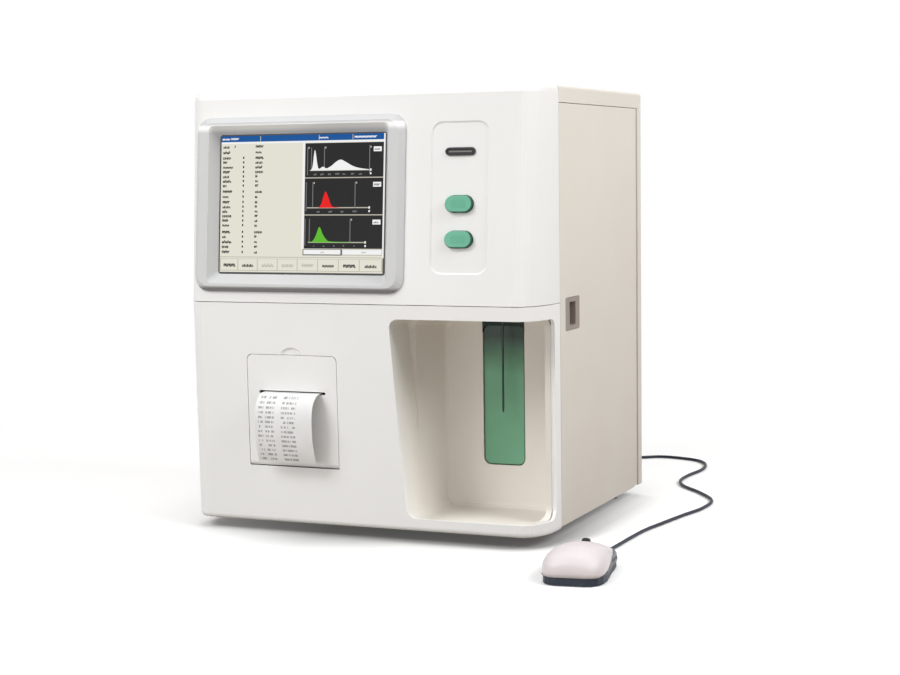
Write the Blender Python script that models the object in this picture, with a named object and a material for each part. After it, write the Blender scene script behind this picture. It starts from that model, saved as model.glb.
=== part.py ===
# Bench hematology analyzer: sheet-metal body, two moulded front halves, sampling bay,
# strip printer, service door on the right and a small mouse on its lead.
# Metres, +Z up, front towards -Y, origin at the middle of the footprint on the bench.
import bpy
import bmesh
import math
from mathutils import Matrix, Vector

# Overall body
BODY_W = 0.360
BODY_D = 0.248
BODY_H = 0.400
FOOT_H = 0.012
SHEET = 0.0015
GAP = 0.0003
OVERRUN = 0.004
BEND_R = 0.002
SHARP_ANGLE = math.radians(32)
BEVEL_ANGLE = math.radians(40)

# How far the moulded front stands ahead of the cover's front edge
FRONT_TOP_REACH = 0.044
FRONT_SEAM_REACH = 0.060
FRONT_FOOT_REACH = 0.055
PAPER_AHEAD = 0.0175
REAR_REACH = 0.016
SEAM_UP = 0.205
SEAM_GAP = 0.0006
FRONT_DROP = 0.002
MOULD_WALL = 0.003
CORNER_W = 0.022
FLANGE_SHARE = 0.25
CROWN_R = 0.006
CROWN_SIDE_SHARE = 0.35
SILL_R = 0.004
CORNER_STEPS = 8
CROWN_STEPS = 3

HALF_W = BODY_W / 2
Y_FRONT = (PAPER_AHEAD - FRONT_SEAM_REACH - BODY_D - REAR_REACH) / 2
Y_SEAT = Y_FRONT + FRONT_SEAM_REACH
Y_REAR = Y_SEAT + BODY_D
Z_BASE = FOOT_H
Z_TOP = Z_BASE + BODY_H
Z_SEAM = Z_BASE + SEAM_UP
Z_SILL = Z_BASE - FRONT_DROP

# Lid, side panels and rear panel
LID_SKIRT = 0.015
LID_GAP = 0.0006
PANEL_FOLD = 0.010
REAR_RETURN = 0.012
HINGE_BARREL_R = 0.005
HINGE_ROD_R = 0.002
ROD_CLEAR = 0.0003
Z_PANEL_TOP = Z_TOP - LID_SKIRT - LID_GAP
X_SKIN_IN = HALF_W - SHEET
Y_RETURN = Y_REAR - REAR_RETURN
HINGE_Y = Y_RETURN - HINGE_BARREL_R - 2 * GAP
HINGE_X = HALF_W - HINGE_BARREL_R

# Feet
FOOT_R = 0.014
FOOT_TAPER = 0.002
FOOT_INSET = 0.030
FOOT_SPIGOT_R = 0.004

# Screen
SCREEN_SHARE = -0.3111
SCREEN_X = HALF_W * SCREEN_SHARE
SCREEN_UP = 0.296
BEZEL_SHARE = 0.5972
BEZEL_W = BODY_W * BEZEL_SHARE
BEZEL_H = 0.162
BEZEL_R = 0.014
BEZEL_PROUD = 0.006
BEZEL_SLOPE = 0.005
CREST_SIDE = 0.014
CREST_IN_W = BEZEL_W - 2 * CREST_SIDE
CREST_IN_H = 0.148
WINDOW_SIDE = 0.007
WINDOW_W = CREST_IN_W - 2 * WINDOW_SIDE
WINDOW_H = 0.130
WINDOW_SINK = 0.005
LCD_LAP = 0.0115
LCD_W = WINDOW_W + 2 * LCD_LAP
LCD_H = 0.150
LCD_T = 0.009

# Control column on the upper front
KEY_INSET = 0.0755
KEY_X = HALF_W - KEY_INSET
START_UP = 0.2955
DRAIN_UP = 0.2640
KEY_W = 0.0264
KEY_H = 0.0152
KEY_PROUD = 0.0025
KEY_TRAVEL = 0.0018
KEY_CLEAR = 0.0004
KEY_FLANGE = 0.0014
KEY_FLANGE_T = 0.0012
KEY_STEM = 0.006
STEM_R = 0.0022
LAMP_UP = 0.3420
LAMP_W = 0.0284
LAMP_H = 0.0068
LAMP_RIM = 0.0016
LAMP_DEPTH = 0.006
DISH_W = 0.053
DISH_H = 0.133
DISH_UP = 0.301
DISH_R = 0.009
DISH_SINK = 0.0010
DISH_SLOPE = 0.0016
BOARD_T = 0.0016

# Sampling bay
BAY_WIDE_TOP = 0.144
BAY_WIDE_FOOT = 0.130
BAY_EDGE = 0.007
BAY_LEFT_TOP = HALF_W - BAY_WIDE_TOP
BAY_LEFT_FOOT = HALF_W - BAY_WIDE_FOOT
BAY_RIGHT = HALF_W - BAY_EDGE
BAY_FLOOR_UP = 0.0095
BAY_ROOF_UP = 0.192
BAY_MOUTH_R = 0.008
BAY_LIP_R = 0.011
MOUTH_STEPS = 5
BAY_BACK_IN = 0.015
BAY_BACK_EDGE = 0.006
BAY_BACK_LEFT = BAY_LEFT_TOP + BAY_BACK_IN
BAY_BACK_RIGHT = BAY_RIGHT - BAY_BACK_EDGE
BAY_BACK_ROOF_DROP = 0.006
BAY_TRAY_SINK = 0.005
BAY_BACK_R = 0.012
BAY_FILLET = 0.006
BAY_DEEP = 0.040
BAY_WALL = 0.0025
BAY_STEP = 0.0008
BAY_SEAT_GAP = 0.0004
BAY_SIDE_GAP = 0.0015
BAY_FALL = 0.0015
BAY_FLANK = 0.0078
BAY_FLANK_BACK = 0.010
NEEDLE_HOLE_R = 0.004

# Needle backing plate in the bay's rear wall
PLATE_INSET = 0.071
PLATE_X = HALF_W - PLATE_INSET
PLATE_W = 0.042
PLATE_FOOT_UP = 0.047
PLATE_R = 0.007
PLATE_T = 0.002
PLATE_LAP = 0.004
PLATE_CLEAR = 0.0007

# Sample probe and its lift
PROBE_INSET = 0.067
PROBE_X = HALF_W - PROBE_INSET
PROBE_AHEAD = 0.012
PROBE_R = 0.0010
PROBE_TIP_UP = 0.099
CARRIAGE_UP = 0.236
CARRIAGE_H = 0.024
CARRIAGE_W = 0.050
CARRIAGE_LIP = 0.006
RAIL_BEHIND = 0.016
PROBE_HEAD_R = 0.003
PROBE_HEAD_H = 0.010
RAIL_R = 0.003
SCREW_R = 0.003
SCREW_THREAD = 0.0006
SCREW_LEAD = 0.010
SCREW_RINGS = 4
RAIL_SPREAD = 0.016
LIFT_W = 0.070
LIFT_PLATE_T = 0.002
LIFT_SHELF = 0.030
MOTOR_SIDE = 0.028
MOTOR_H = 0.022
MOTOR_CHAMFER = 0.004
RUN_CLEAR = 0.0004
RINSE_W = 0.020
RINSE_H = 0.010

# Strip printer
DOOR_SHARE = -0.3556
DOOR_X = HALF_W * DOOR_SHARE
DOOR_W = 0.0927
DOOR_FOOT_UP = 0.0515
DOOR_TOP_UP = 0.1562
DOOR_T = 0.003
DOOR_R = 0.005
DOOR_FOOT_R = 0.001
DOOR_GAP = 0.0005
DOOR_BARREL_R = 0.0046
DOOR_PIN_R = 0.0012
SLOT_W = 0.069
SLOT_H = 0.0026
SLOT_UP = 0.1215
NOTCH_W = 0.022
NOTCH_H = 0.0075
NOTCH_DEPTH = 0.0018
NOTCH_SHARE = 0.8
BIN_WALL = 0.002
BIN_DEEP = 0.066
PAPER_W = 0.059
PAPER_T = 0.0004
PAPER_TAIL = 0.0024
PAPER_DROP = 0.0636
ROLL_R = 0.021
ROLL_CORE_R = 0.006
ROLL_PIN_R = 0.0055
ROLL_BACK = 0.036
ROLL_UP = 0.083
PLATEN_R = 0.006
PLATEN_AXLE_R = 0.0015
PLATEN_BACK = 0.014
HEAD_H = 0.012
HEAD_D = 0.014

# Service door pull and catch
PULL_W = 0.0386
PULL_H = 0.030
PULL_FRONT = 0.0147
PULL_UP = 0.193
PULL_RIM = 0.0008
PULL_POCKET_W = 0.0165
PULL_POCKET_H = 0.0215
PULL_DEEP = 0.0060
PULL_SHELL = 0.0012
CATCH_W = 0.008
CATCH_H = 0.030
CATCH_D = 0.012

# Inner plate and fluidics
INNER_OUT = 0.010
INNER_X = BAY_LEFT_TOP - INNER_OUT
INNER_T = 0.002
INNER_HOLE_R = 0.012
VALVE_N = 5
VALVE_R = 0.0075
VALVE_L = 0.026
VALVE_PITCH = 0.019
VALVE_BASE_D = 0.020
VALVE_BASE_H = 0.022
VALVE_UP = 0.300
VALVE_SETBACK = 0.084
VALVE_Y = Y_SEAT + VALVE_SETBACK
BATH_SETBACK = 0.088
BATH_Y = Y_SEAT + BATH_SETBACK
BATH_UP = 0.225
BATH_D = 0.030
BATH_H = 0.045
BATH_WALL = 0.002
BATH_PITCH = 0.042
SYRINGE_SETBACK = 0.206
SYRINGE_Y = Y_SEAT + SYRINGE_SETBACK
SYRINGE_X_OUT = 0.040
SYRINGE_R = 0.012
SYRINGE_WALL = 0.0016
SYRINGE_L = 0.075
SYRINGE_UP = 0.240
SYRINGE_TRAVEL = 0.040
PLUNGER_HEAD = 0.006
PLUNGER_ROD_R = 0.003
YOKE_H = 0.008
YOKE_R = 0.010
SYRINGE_BACK_W = 0.040
SYRINGE_BACK_T = 0.010
SYRINGE_GRIP = 0.010
PUMP_SETBACK = 0.112
PUMP_Y = Y_SEAT + PUMP_SETBACK
PUMP_UP = 0.120
PUMP_R = 0.030
PUMP_WALL = 0.004
PUMP_DEPTH = 0.022
PUMP_BACK = 0.004
ROTOR_R = 0.016
ROTOR_T = 0.010
ROLLER_R = 0.0045
ROLLER_N = 3
HUB_R = 0.004

# Electronics
BOARD_GAP = 0.008
MAIN_BOARD_D = 0.150
MAIN_BOARD_H = 0.130
MAIN_BOARD_UP = 0.210
CHIP_SHARES = ((-0.25, 0.22, 0.20, 0.20, 0.30), (0.12, 0.25, 0.26, 0.14, 0.35),
               (0.30, -0.05, 0.14, 0.24, 0.60), (-0.10, -0.12, 0.24, 0.26, 0.25),
               (-0.38, -0.20, 0.08, 0.34, 0.75), (0.20, -0.38, 0.46, 0.10, 0.80))
POWER_W = 0.100
POWER_D = 0.085
POWER_H = 0.050
POWER_SHARE = -0.6111
POWER_X = HALF_W * POWER_SHARE
FAN_SIDE = 0.060
FAN_T = 0.020
FAN_SHARE = -0.5556
FAN_X = HALF_W * FAN_SHARE
FAN_UP = 0.310
FAN_BORE_R = 0.028
FAN_HUB_R = 0.012
FAN_TIP_R = 0.0255
FAN_BLADES = 7
FAN_BLADE_T = 0.0012
FAN_PITCH_SHARE = 0.55
GUARD_RINGS = 3
GUARD_BAR = 0.0022
INLET_W = 0.0275
INLET_H = 0.0225
INLET_RIM = 0.003
INLET_DEEP = 0.024
INLET_UP = 0.050
INLET_X = POWER_X
INLET_POCKET = 0.017
INLET_WALL = 0.0025
BLADE_W = 0.002
BLADE_H = 0.004
BLADE_L = 0.012
ROCKER_W = 0.018
ROCKER_H = 0.012
ROCKER_PROUD = 0.0035
ROCKER_DEEP = 0.016
ROCKER_TILT = math.radians(7)
VENT_N = 8
VENT_W = 0.050
VENT_H = 0.003
VENT_PITCH = 0.008
VENT_SHARE = -0.1111
VENT_X = HALF_W * VENT_SHARE
VENT_UP = 0.270
PORT_N = 4
PORT_PITCH = 0.024
PORT_INSET = 0.120
PORT_X = HALF_W - PORT_INSET
PORT_UP = 0.080
PORT_PLATE_H = 0.024
PORT_PLATE_T = 0.003
BARB_R = 0.0032
BARB_WIDE_R = 0.0042
BARB_TIP_R = 0.0029
BARB_BORE_R = 0.0016
BARB_L = 0.012
USB_INSET = 0.060
USB_X = HALF_W - USB_INSET
USB_UP = 0.040
USB_W = 0.013
USB_H = 0.0056
USB_RIM = 0.0015
USB_DEEP = 0.014

# Mouse
MOUSE_L = 0.092
MOUSE_W = 0.055
MOUSE_H = 0.029
MOUSE_BASE_H = 0.007
MOUSE_OUT = 0.063
MOUSE_AHEAD = 0.132
MOUSE_X = HALF_W + MOUSE_OUT
MOUSE_Y = Y_SEAT - MOUSE_AHEAD
MOUSE_TURN = math.radians(8)
MOUSE_SKATE = 0.0005
MOUSE_SPLIT_SHARE = 0.08
MOUSE_STATION_SHARES = ((-0.500, 0.45, 0.30), (-0.485, 0.66, 0.50), (-0.44, 0.84, 0.72), (-0.36, 0.95, 0.90),
                        (-0.24, 1.00, 1.00), (-0.08, 0.98, 0.99), (0.10, 0.94, 0.90), (0.26, 0.94, 0.76),
                        (0.39, 0.92, 0.60), (0.465, 0.84, 0.48), (0.500, 0.66, 0.38))
MOUSE_ARCH_STEPS = 12
MOUSE_ARCH_SHARE = 0.62
MOUSE_FOOT_SHARE = 0.96
MOUSE_KEY_SHARE = 0.76
MOUSE_KEY_FLOOR = 0.003
MOUSE_KEY_DROP = 0.0015
MOUSE_KEY_GAP = 0.0006
WHEEL_R = 0.009
WHEEL_W = 0.006
WHEEL_PROUD = 0.0025
WHEEL_SHARE = 0.27
WHEEL_CLEAR = 0.0006
WHEEL_AXLE_R = 0.0012
WHEEL_POST = 0.0016
WHEEL_POST_R = 0.003

# The mouse's lead, its coil behind the machine and its plug
CORD_R = 0.0016
CORD_STEP = 0.0096
RELIEF_L = 0.010
RELIEF_R = 0.0024
PLUG_L = 0.028
PLUG_W = 0.0155
PLUG_H = 0.0085
PLUG_SHELL_L = 0.0105
PLUG_SHELL_CLEAR = 0.0005
PLUG_RELIEF_L = 0.012
COIL_INSET = 0.120
COIL_X = HALF_W - COIL_INSET
COIL_BEHIND = 0.069
COIL_Y = Y_REAR + COIL_BEHIND
COIL_R = 0.0250
COIL_TURNS = 7.5
COIL_PITCH = 0.0038
COIL_CLIMB_SHARE = 0.8
LOOP_POINTS = 20
FLOOR_LIFT = 0.0003
TAIL_DROP = ((0.010, 0.985), (0.022, 0.90), (0.035, 0.68), (0.046, 0.36), (0.056, 0.08), (0.066, 0.0))
TAIL_TURN = ((0.002, 0.078), (0.010, 0.088), (0.022, 0.088), (0.031, 0.078), (0.0335, 0.062))
ROUTE = ((-0.128, 0.395), (-0.100, 0.445), (-0.069, 0.469), (-0.048, 0.482), (-0.022, 0.478), (0.001, 0.466),
         (0.0146, 0.444), (0.0206, 0.408), (0.0165, 0.364), (0.018, 0.330), (0.030, 0.300), (0.057, 0.266),
         (0.080, 0.226), (0.082, 0.182), (0.074, 0.140), (0.067, 0.098), (0.061, 0.060), (0.059, 0.022),
         (0.058, -0.018), (0.0565, -0.052))


def clear_scene():
    for item in list(bpy.data.objects):
        bpy.data.objects.remove(item, do_unlink=True)


def paint(name, colour, rough=0.5, metal=0.0):
    material = bpy.data.materials.get(name)
    if material is None:
        material = bpy.data.materials.new(name)
        material.use_nodes = True
        shader = material.node_tree.nodes["Principled BSDF"]
        shader.inputs["Base Color"].default_value = (*colour, 1.0)
        shader.inputs["Roughness"].default_value = rough
        shader.inputs["Metallic"].default_value = metal
    return material


# Closed meshes, made in world places and handed over as bmesh

def skin_rings(rings):
    """Close a stack of equal rings of points into one solid."""
    bm = bmesh.new()
    levels = [[bm.verts.new(p) for p in ring] for ring in rings]
    for low, high in zip(levels, levels[1:]):
        count = len(low)
        for i in range(count):
            j = (i + 1) % count
            bm.faces.new((low[i], low[j], high[j], high[i]))
    bm.faces.new(levels[0])
    bm.faces.new(levels[-1])
    bmesh.ops.recalc_face_normals(bm, faces=bm.faces)
    if bm.calc_volume(signed=True) < 0:
        bmesh.ops.reverse_faces(bm, faces=bm.faces)
    return bm


def place(axis, u, v, t):
    """A point with u and v in the plane across the axis and t along it."""
    if axis == "X":
        return Vector((t, u, v))
    if axis == "Y":
        return Vector((u, t, v))
    return Vector((u, v, t))


def prism(outline, axis, low, high):
    return skin_rings([[place(axis, u, v, t) for u, v in outline] for t in (low, high)])


def block(low, high):
    u0, v0, t0 = low
    u1, v1, t1 = high
    return prism(((u0, v0), (u1, v0), (u1, v1), (u0, v1)), "Z", t0, t1)


def circle(u, v, radius, steps=24):
    turn = 2 * math.pi / steps
    return [(u + radius * math.cos((k + 0.5) * turn), v + radius * math.sin((k + 0.5) * turn))
            for k in range(steps)]


def rod(u, v, radius, axis, low, high, steps=24):
    return prism(circle(u, v, radius, steps), axis, low, high)


def turned(u, v, axis, profile, steps=24):
    """Revolve (radius, place along the axis) pairs about a line."""
    return skin_rings([[place(axis, p, q, t) for p, q in circle(u, v, r, steps)] for r, t in profile])


def rounded(u, v, width, height, radius, steps=4):
    """A rectangle about its middle with round corners."""
    points = []
    centres = ((width, height), (-width, height), (-width, -height), (width, -height))
    for k, (sx, sy) in enumerate(centres):
        cu = u + math.copysign(width / 2 - radius, sx)
        cv = v + math.copysign(height / 2 - radius, sy)
        for i in range(steps + 1):
            angle = (k + i / steps) * math.pi / 2
            points.append((cu + radius * math.cos(angle), cv + radius * math.sin(angle)))
    return points


def round_corners(corners, radii, steps=4):
    """A convex outline, counter-clockwise, with its own radius at each corner."""
    points = []
    count = len(corners)
    for k, radius in enumerate(radii):
        here = Vector(corners[k])
        before = (Vector(corners[k - 1]) - here).normalized()
        after = (Vector(corners[(k + 1) % count]) - here).normalized()
        if radius <= 0:
            points.append(tuple(here))
            continue
        half = before.angle(after) / 2
        middle = here + (before + after).normalized() * radius / math.sin(half)
        start = here + before * radius / math.tan(half) - middle
        end = here + after * radius / math.tan(half) - middle
        for i in range(steps + 1):
            spoke = start.lerp(end, i / steps).normalized() * radius
            points.append(tuple(middle + spoke))
    return points


def stadium(u, v, width, height, steps=8):
    return rounded(u, v, width, height, height / 2 - GAP / 10, steps)


# Objects

def raw(name, bm, origin=(0, 0, 0), material=None):
    mesh = bpy.data.meshes.new(name)
    bmesh.ops.translate(bm, verts=bm.verts, vec=-Vector(origin))
    bm.to_mesh(mesh)
    bm.free()
    item = bpy.data.objects.new(name, mesh)
    item.location = origin
    bpy.context.scene.collection.objects.link(item)
    if material is not None:
        mesh.materials.append(material)
    return item


def tool(item):
    item.hide_render = True
    item.display_type = "WIRE"
    return item


def combine(item, parts, operation):
    for k, bm in enumerate(parts):
        helper = tool(raw(f"{item.name}.{operation.lower()}.{k}", bm))
        step = item.modifiers.new(operation.title(), "BOOLEAN")
        step.operation = operation
        step.solver = "EXACT"
        step.object = helper


def soften(item, width, angle=BEVEL_ANGLE, segments=2):
    bevel = item.modifiers.new("Soft edges", "BEVEL")
    bevel.width = width
    bevel.segments = segments
    bevel.limit_method = "ANGLE"
    bevel.angle_limit = angle
    bevel.use_clamp_overlap = True


def solid(name, base, material, adds=(), cuts=(), late=(), origin=(0, 0, 0), bevel=0, segments=2):
    """One node: a base mesh, softened if asked, with meshes joined on, cut out, then added last."""
    item = raw(name, base, origin, material)
    if bevel:
        soften(item, bevel, segments=segments)
    combine(item, adds, "UNION")
    combine(item, cuts, "DIFFERENCE")
    combine(item, late, "UNION")
    item.data.shade_smooth()
    item.data.set_sharp_from_angle(angle=SHARP_ANGLE)
    return item


# The moulded front: one form, leaning back above the seam and tucking under below it

def reach_upper(z):
    return FRONT_SEAM_REACH + (FRONT_TOP_REACH - FRONT_SEAM_REACH) * (z - Z_SEAM) / (Z_TOP - Z_SEAM)


def reach_lower(z):
    return FRONT_FOOT_REACH + (FRONT_SEAM_REACH - FRONT_FOOT_REACH) * (z - Z_SILL) / (Z_SEAM - Z_SILL)


def front_ring(z, reach, inset, side_inset, back):
    """The plan outline at one height: side flange, round corner, flat face, and mirrored."""
    flange_y = Y_SEAT - reach * FLANGE_SHARE
    depth = reach * (1 - FLANGE_SHARE) - inset
    half = HALF_W - side_inset
    corner = CORNER_W - side_inset
    right = [(half, back)]
    for k in range(CORNER_STEPS + 1):
        angle = k / CORNER_STEPS * math.pi / 2
        right.append((half - corner + corner * math.cos(angle), flange_y - depth * math.sin(angle)))
    left = [(-x, y) for x, y in reversed(right)]
    return [(x, y, z) for x, y in right + left]


def front_mass(reach, levels, inset, side_inset, back):
    """Levels are (height, extra inset) pairs from the bottom up."""
    return skin_rings([front_ring(z, reach(z), inset + more, side_inset + more * CROWN_SIDE_SHARE, back)
                       for z, more in levels])


def on_face(bm, reach):
    """Move features drawn with y as depth behind the face onto the leaning face."""
    for vert in bm.verts:
        vert.co.y += Y_SEAT - reach(vert.co.z)
    return bm


def on_upper(bm):
    return on_face(bm, reach_upper)


def on_lower(bm):
    return on_face(bm, reach_lower)


def panel_loft(steps):
    """Rings of XZ outlines at depths behind the face."""
    return skin_rings([[(x, y, z) for x, z in outline] for outline, y in steps])


Z_SCREEN = Z_BASE + SCREEN_UP
Z_START = Z_BASE + START_UP
Z_DRAIN = Z_BASE + DRAIN_UP
Z_LAMP = Z_BASE + LAMP_UP
KEY_SEAT = MOULD_WALL + GAP
KEY_BOARD = KEY_SEAT + KEY_FLANGE_T + KEY_STEM + KEY_TRAVEL + GAP
BOSS_R = 0.0035
BOSS_SHARES = (-0.32, 0.32)


def upper_front(shell):
    crown = [(k / CROWN_STEPS * math.pi / 2) for k in range(1, CROWN_STEPS + 1)]
    levels = [(Z_SEAM + SEAM_GAP / 2, 0), (Z_TOP - CROWN_R, 0)]
    levels += [(Z_TOP - CROWN_R + CROWN_R * math.sin(a), CROWN_R * (1 - math.cos(a))) for a in crown]
    outer = front_mass(reach_upper, levels, 0, 0, Y_SEAT - GAP)
    hollow = front_mass(reach_upper, [(Z_SEAM - OVERRUN, 0), (Z_TOP - MOULD_WALL, 0)],
                        MOULD_WALL, MOULD_WALL, Y_SEAT + OVERRUN)
    through = MOULD_WALL + OVERRUN
    dish_mouth = rounded(KEY_X, Z_BASE + DISH_UP, DISH_W + 2 * DISH_SLOPE, DISH_H + 2 * DISH_SLOPE,
                         DISH_R + DISH_SLOPE)
    dish_floor = rounded(KEY_X, Z_BASE + DISH_UP, DISH_W, DISH_H, DISH_R)
    dish = panel_loft(((dish_mouth, -OVERRUN), (dish_mouth, 0), (dish_floor, DISH_SINK)))
    window = prism(rounded(SCREEN_X, Z_SCREEN, CREST_IN_W, CREST_IN_H, BEZEL_SLOPE), "Y",
                   -OVERRUN, through)
    keys = [prism(stadium(KEY_X, z, KEY_W + 2 * KEY_CLEAR, KEY_H + 2 * KEY_CLEAR), "Y",
                  -OVERRUN, through) for z in (Z_START, Z_DRAIN)]
    lamp = prism(stadium(KEY_X, Z_LAMP, LAMP_W + 2 * GAP, LAMP_H + 2 * GAP), "Y", -OVERRUN, through)
    bosses = [rod(KEY_X + BOARD_W * share, (Z_START + Z_DRAIN) / 2, BOSS_R, "Y",
                  DISH_SINK + GAP, KEY_BOARD - GAP, 12) for share in BOSS_SHARES]
    cuts = [hollow] + [on_upper(bm) for bm in [dish, window, lamp] + keys]
    solid("front_panel_upper", outer, shell, cuts=cuts, late=[on_upper(bm) for bm in bosses])


def bay_mouth():
    """The opening in the lower front: it wraps round the right corner as far as the flange."""
    floor = Z_BASE + BAY_FLOOR_UP
    roof = Z_BASE + BAY_ROOF_UP
    far = HALF_W + OVERRUN
    rings = []
    for k in range(-1, MOUTH_STEPS + 1):
        angle = max(k, 0) / MOUTH_STEPS * math.pi / 2
        low = floor + BAY_LIP_R * (1 - math.cos(angle))
        high = roof - BAY_MOUTH_R * (1 - math.cos(angle))
        outline = round_corners(((BAY_LEFT_FOOT, low), (far, low), (far, high), (BAY_LEFT_TOP, high)),
                                (BAY_LIP_R, 0, 0, BAY_MOUTH_R))
        ring = []
        for x, z in outline:
            radius = BAY_LIP_R if z < (low + high) / 2 else BAY_MOUTH_R
            edge = Y_SEAT - reach_lower(z) * FLANGE_SHARE - radius * (1 - math.sin(angle))
            ring.append((x, Y_FRONT - OVERRUN if k < 0 else edge, z))
        rings.append(ring)
    return skin_rings(rings)


Z_DOOR_FOOT = Z_BASE + DOOR_FOOT_UP
Z_DOOR_TOP = Z_BASE + DOOR_TOP_UP
Z_SLOT = Z_BASE + SLOT_UP
NOTCH_STEPS = 12


def door_outline(grow, foot):
    """Round at the top, nearly square beside the hinge barrel."""
    half = DOOR_W / 2 + grow
    low = foot - grow
    high = Z_DOOR_TOP + grow
    return round_corners(((DOOR_X - half, low), (DOOR_X + half, low), (DOOR_X + half, high),
                          (DOOR_X - half, high)), (DOOR_FOOT_R, DOOR_FOOT_R, DOOR_R, DOOR_R))


def lower_front(shell):
    sill = [k / CROWN_STEPS * math.pi / 2 for k in range(CROWN_STEPS)]
    levels = [(Z_SILL + SILL_R * (1 - math.sin(a)), SILL_R * (1 - math.cos(a))) for a in reversed(sill)]
    levels = [(Z_SILL, SILL_R)] + levels + [(Z_SEAM - SEAM_GAP / 2, 0)]
    outer = front_mass(reach_lower, levels, 0, 0, Y_SEAT - GAP)
    hollow = front_mass(reach_lower, [(Z_SILL + MOULD_WALL, 0), (Z_SEAM + OVERRUN, 0)],
                        MOULD_WALL, MOULD_WALL, Y_SEAT + OVERRUN)
    through = MOULD_WALL + OVERRUN
    aperture = prism(door_outline(DOOR_GAP, Z_DOOR_FOOT), "Y", -OVERRUN, through)
    arc = [k / NOTCH_STEPS * math.pi for k in range(NOTCH_STEPS + 1)]
    lip = [(DOOR_X + NOTCH_W / 2 * math.cos(a), Z_DOOR_TOP + NOTCH_H * math.sin(a)) for a in arc]
    inner = [(DOOR_X + NOTCH_SHARE * NOTCH_W / 2 * math.cos(a),
              Z_DOOR_TOP + NOTCH_SHARE * NOTCH_H * math.sin(a)) for a in arc]
    notch = panel_loft(((lip, -OVERRUN), (lip, 0), (inner, NOTCH_DEPTH)))
    solid("front_panel_lower", outer, shell,
          cuts=[hollow, on_lower(aperture), on_lower(notch), bay_mouth()])


# Sampling bay

Y_BAY_BACK = Y_SEAT + BAY_DEEP
Z_BAY_FLOOR = Z_BASE + BAY_FLOOR_UP - BAY_TRAY_SINK
Z_BAY_ROOF = Z_BASE + BAY_ROOF_UP + BAY_STEP
Z_LINER_TOP = Z_BAY_ROOF + BAY_WALL
Y_PROBE = Y_BAY_BACK - PROBE_AHEAD


def bay_outline(share, inset=0):
    """The hollow's outline between its mouth (share 0) and its rear wall (share 1)."""
    def mix(front, back):
        return front + (back - front) * share
    left_top = mix(BAY_LEFT_TOP - BAY_STEP, BAY_BACK_LEFT) + inset
    left_foot = mix(BAY_LEFT_FOOT - BAY_STEP, BAY_BACK_LEFT) + inset
    right = mix(BAY_RIGHT, BAY_BACK_RIGHT) - inset
    floor = mix(Z_BAY_FLOOR, Z_BAY_FLOOR + BAY_FALL) + inset
    roof = mix(Z_BAY_ROOF, Z_BAY_ROOF - BAY_BACK_ROOF_DROP) - inset
    foot_r = mix(BAY_LIP_R, BAY_BACK_R)
    top_r = mix(BAY_MOUTH_R, BAY_BACK_R)
    return round_corners(((left_foot, floor), (right, floor), (right, roof), (left_top, roof)),
                         (foot_r, foot_r, top_r, top_r))


def bay_liner(cream):
    back = Y_BAY_BACK + BAY_WALL
    levels = [(Z_BAY_FLOOR - BAY_WALL, 0), (Z_LINER_TOP, 0)]
    outer = front_mass(reach_lower, levels, MOULD_WALL + BAY_SEAT_GAP, MOULD_WALL + BAY_SIDE_GAP, back)
    left = BAY_LEFT_TOP - BAY_STEP - BAY_WALL
    beyond = block((-BODY_W, Y_FRONT - OVERRUN, Z_BASE - OVERRUN), (left, back + OVERRUN, Z_TOP))
    front = Y_FRONT - OVERRUN
    fillet = [k / CROWN_STEPS * math.pi / 2 for k in range(CROWN_STEPS + 1)]
    rings = [(bay_outline(0), front)]
    for angle in fillet:
        y = Y_BAY_BACK - BAY_FILLET + BAY_FILLET * math.sin(angle)
        share = (y - front) / (Y_BAY_BACK - front)
        rings.append((bay_outline(share, BAY_FILLET * (1 - math.cos(angle))), y))
    hollow = panel_loft(rings)
    slot = prism(plate_outline(0), "Y", Y_BAY_BACK - OVERRUN, back + OVERRUN)
    needle_hole = rod(PROBE_X, Y_PROBE, NEEDLE_HOLE_R, "Z", Z_BAY_ROOF - BAY_BACK_ROOF_DROP - OVERRUN,
                      Z_LINER_TOP + OVERRUN)
    flank = block((HALF_W - BAY_FLANK, Y_SEAT + BAY_FLANK_BACK, Z_BASE - OVERRUN),
                  (HALF_W, back + OVERRUN, Z_LINER_TOP + OVERRUN))
    solid("bay_liner", outer, cream, cuts=[beyond, flank, bay_mouth(), hollow, slot, needle_hole])


def plate_outline(inset):
    foot = Z_BASE + PLATE_FOOT_UP
    top = Z_BAY_ROOF - BAY_BACK_ROOF_DROP - PLATE_R
    return rounded(PLATE_X, (foot + top) / 2, PLATE_W - 2 * inset, top - foot - 2 * inset, PLATE_R - inset)


def needle_backplate(green):
    seat = Y_BAY_BACK + BAY_WALL + GAP
    pad_sink = BAY_WALL / 2
    flange = prism(plate_outline(-PLATE_LAP), "Y", seat, seat + PLATE_T)
    pad = prism(plate_outline(PLATE_CLEAR), "Y", Y_BAY_BACK + pad_sink, seat + PLATE_T / 2)
    solid("needle_backplate", flange, green, adds=[pad])


# Screen, lamp and keys

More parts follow.
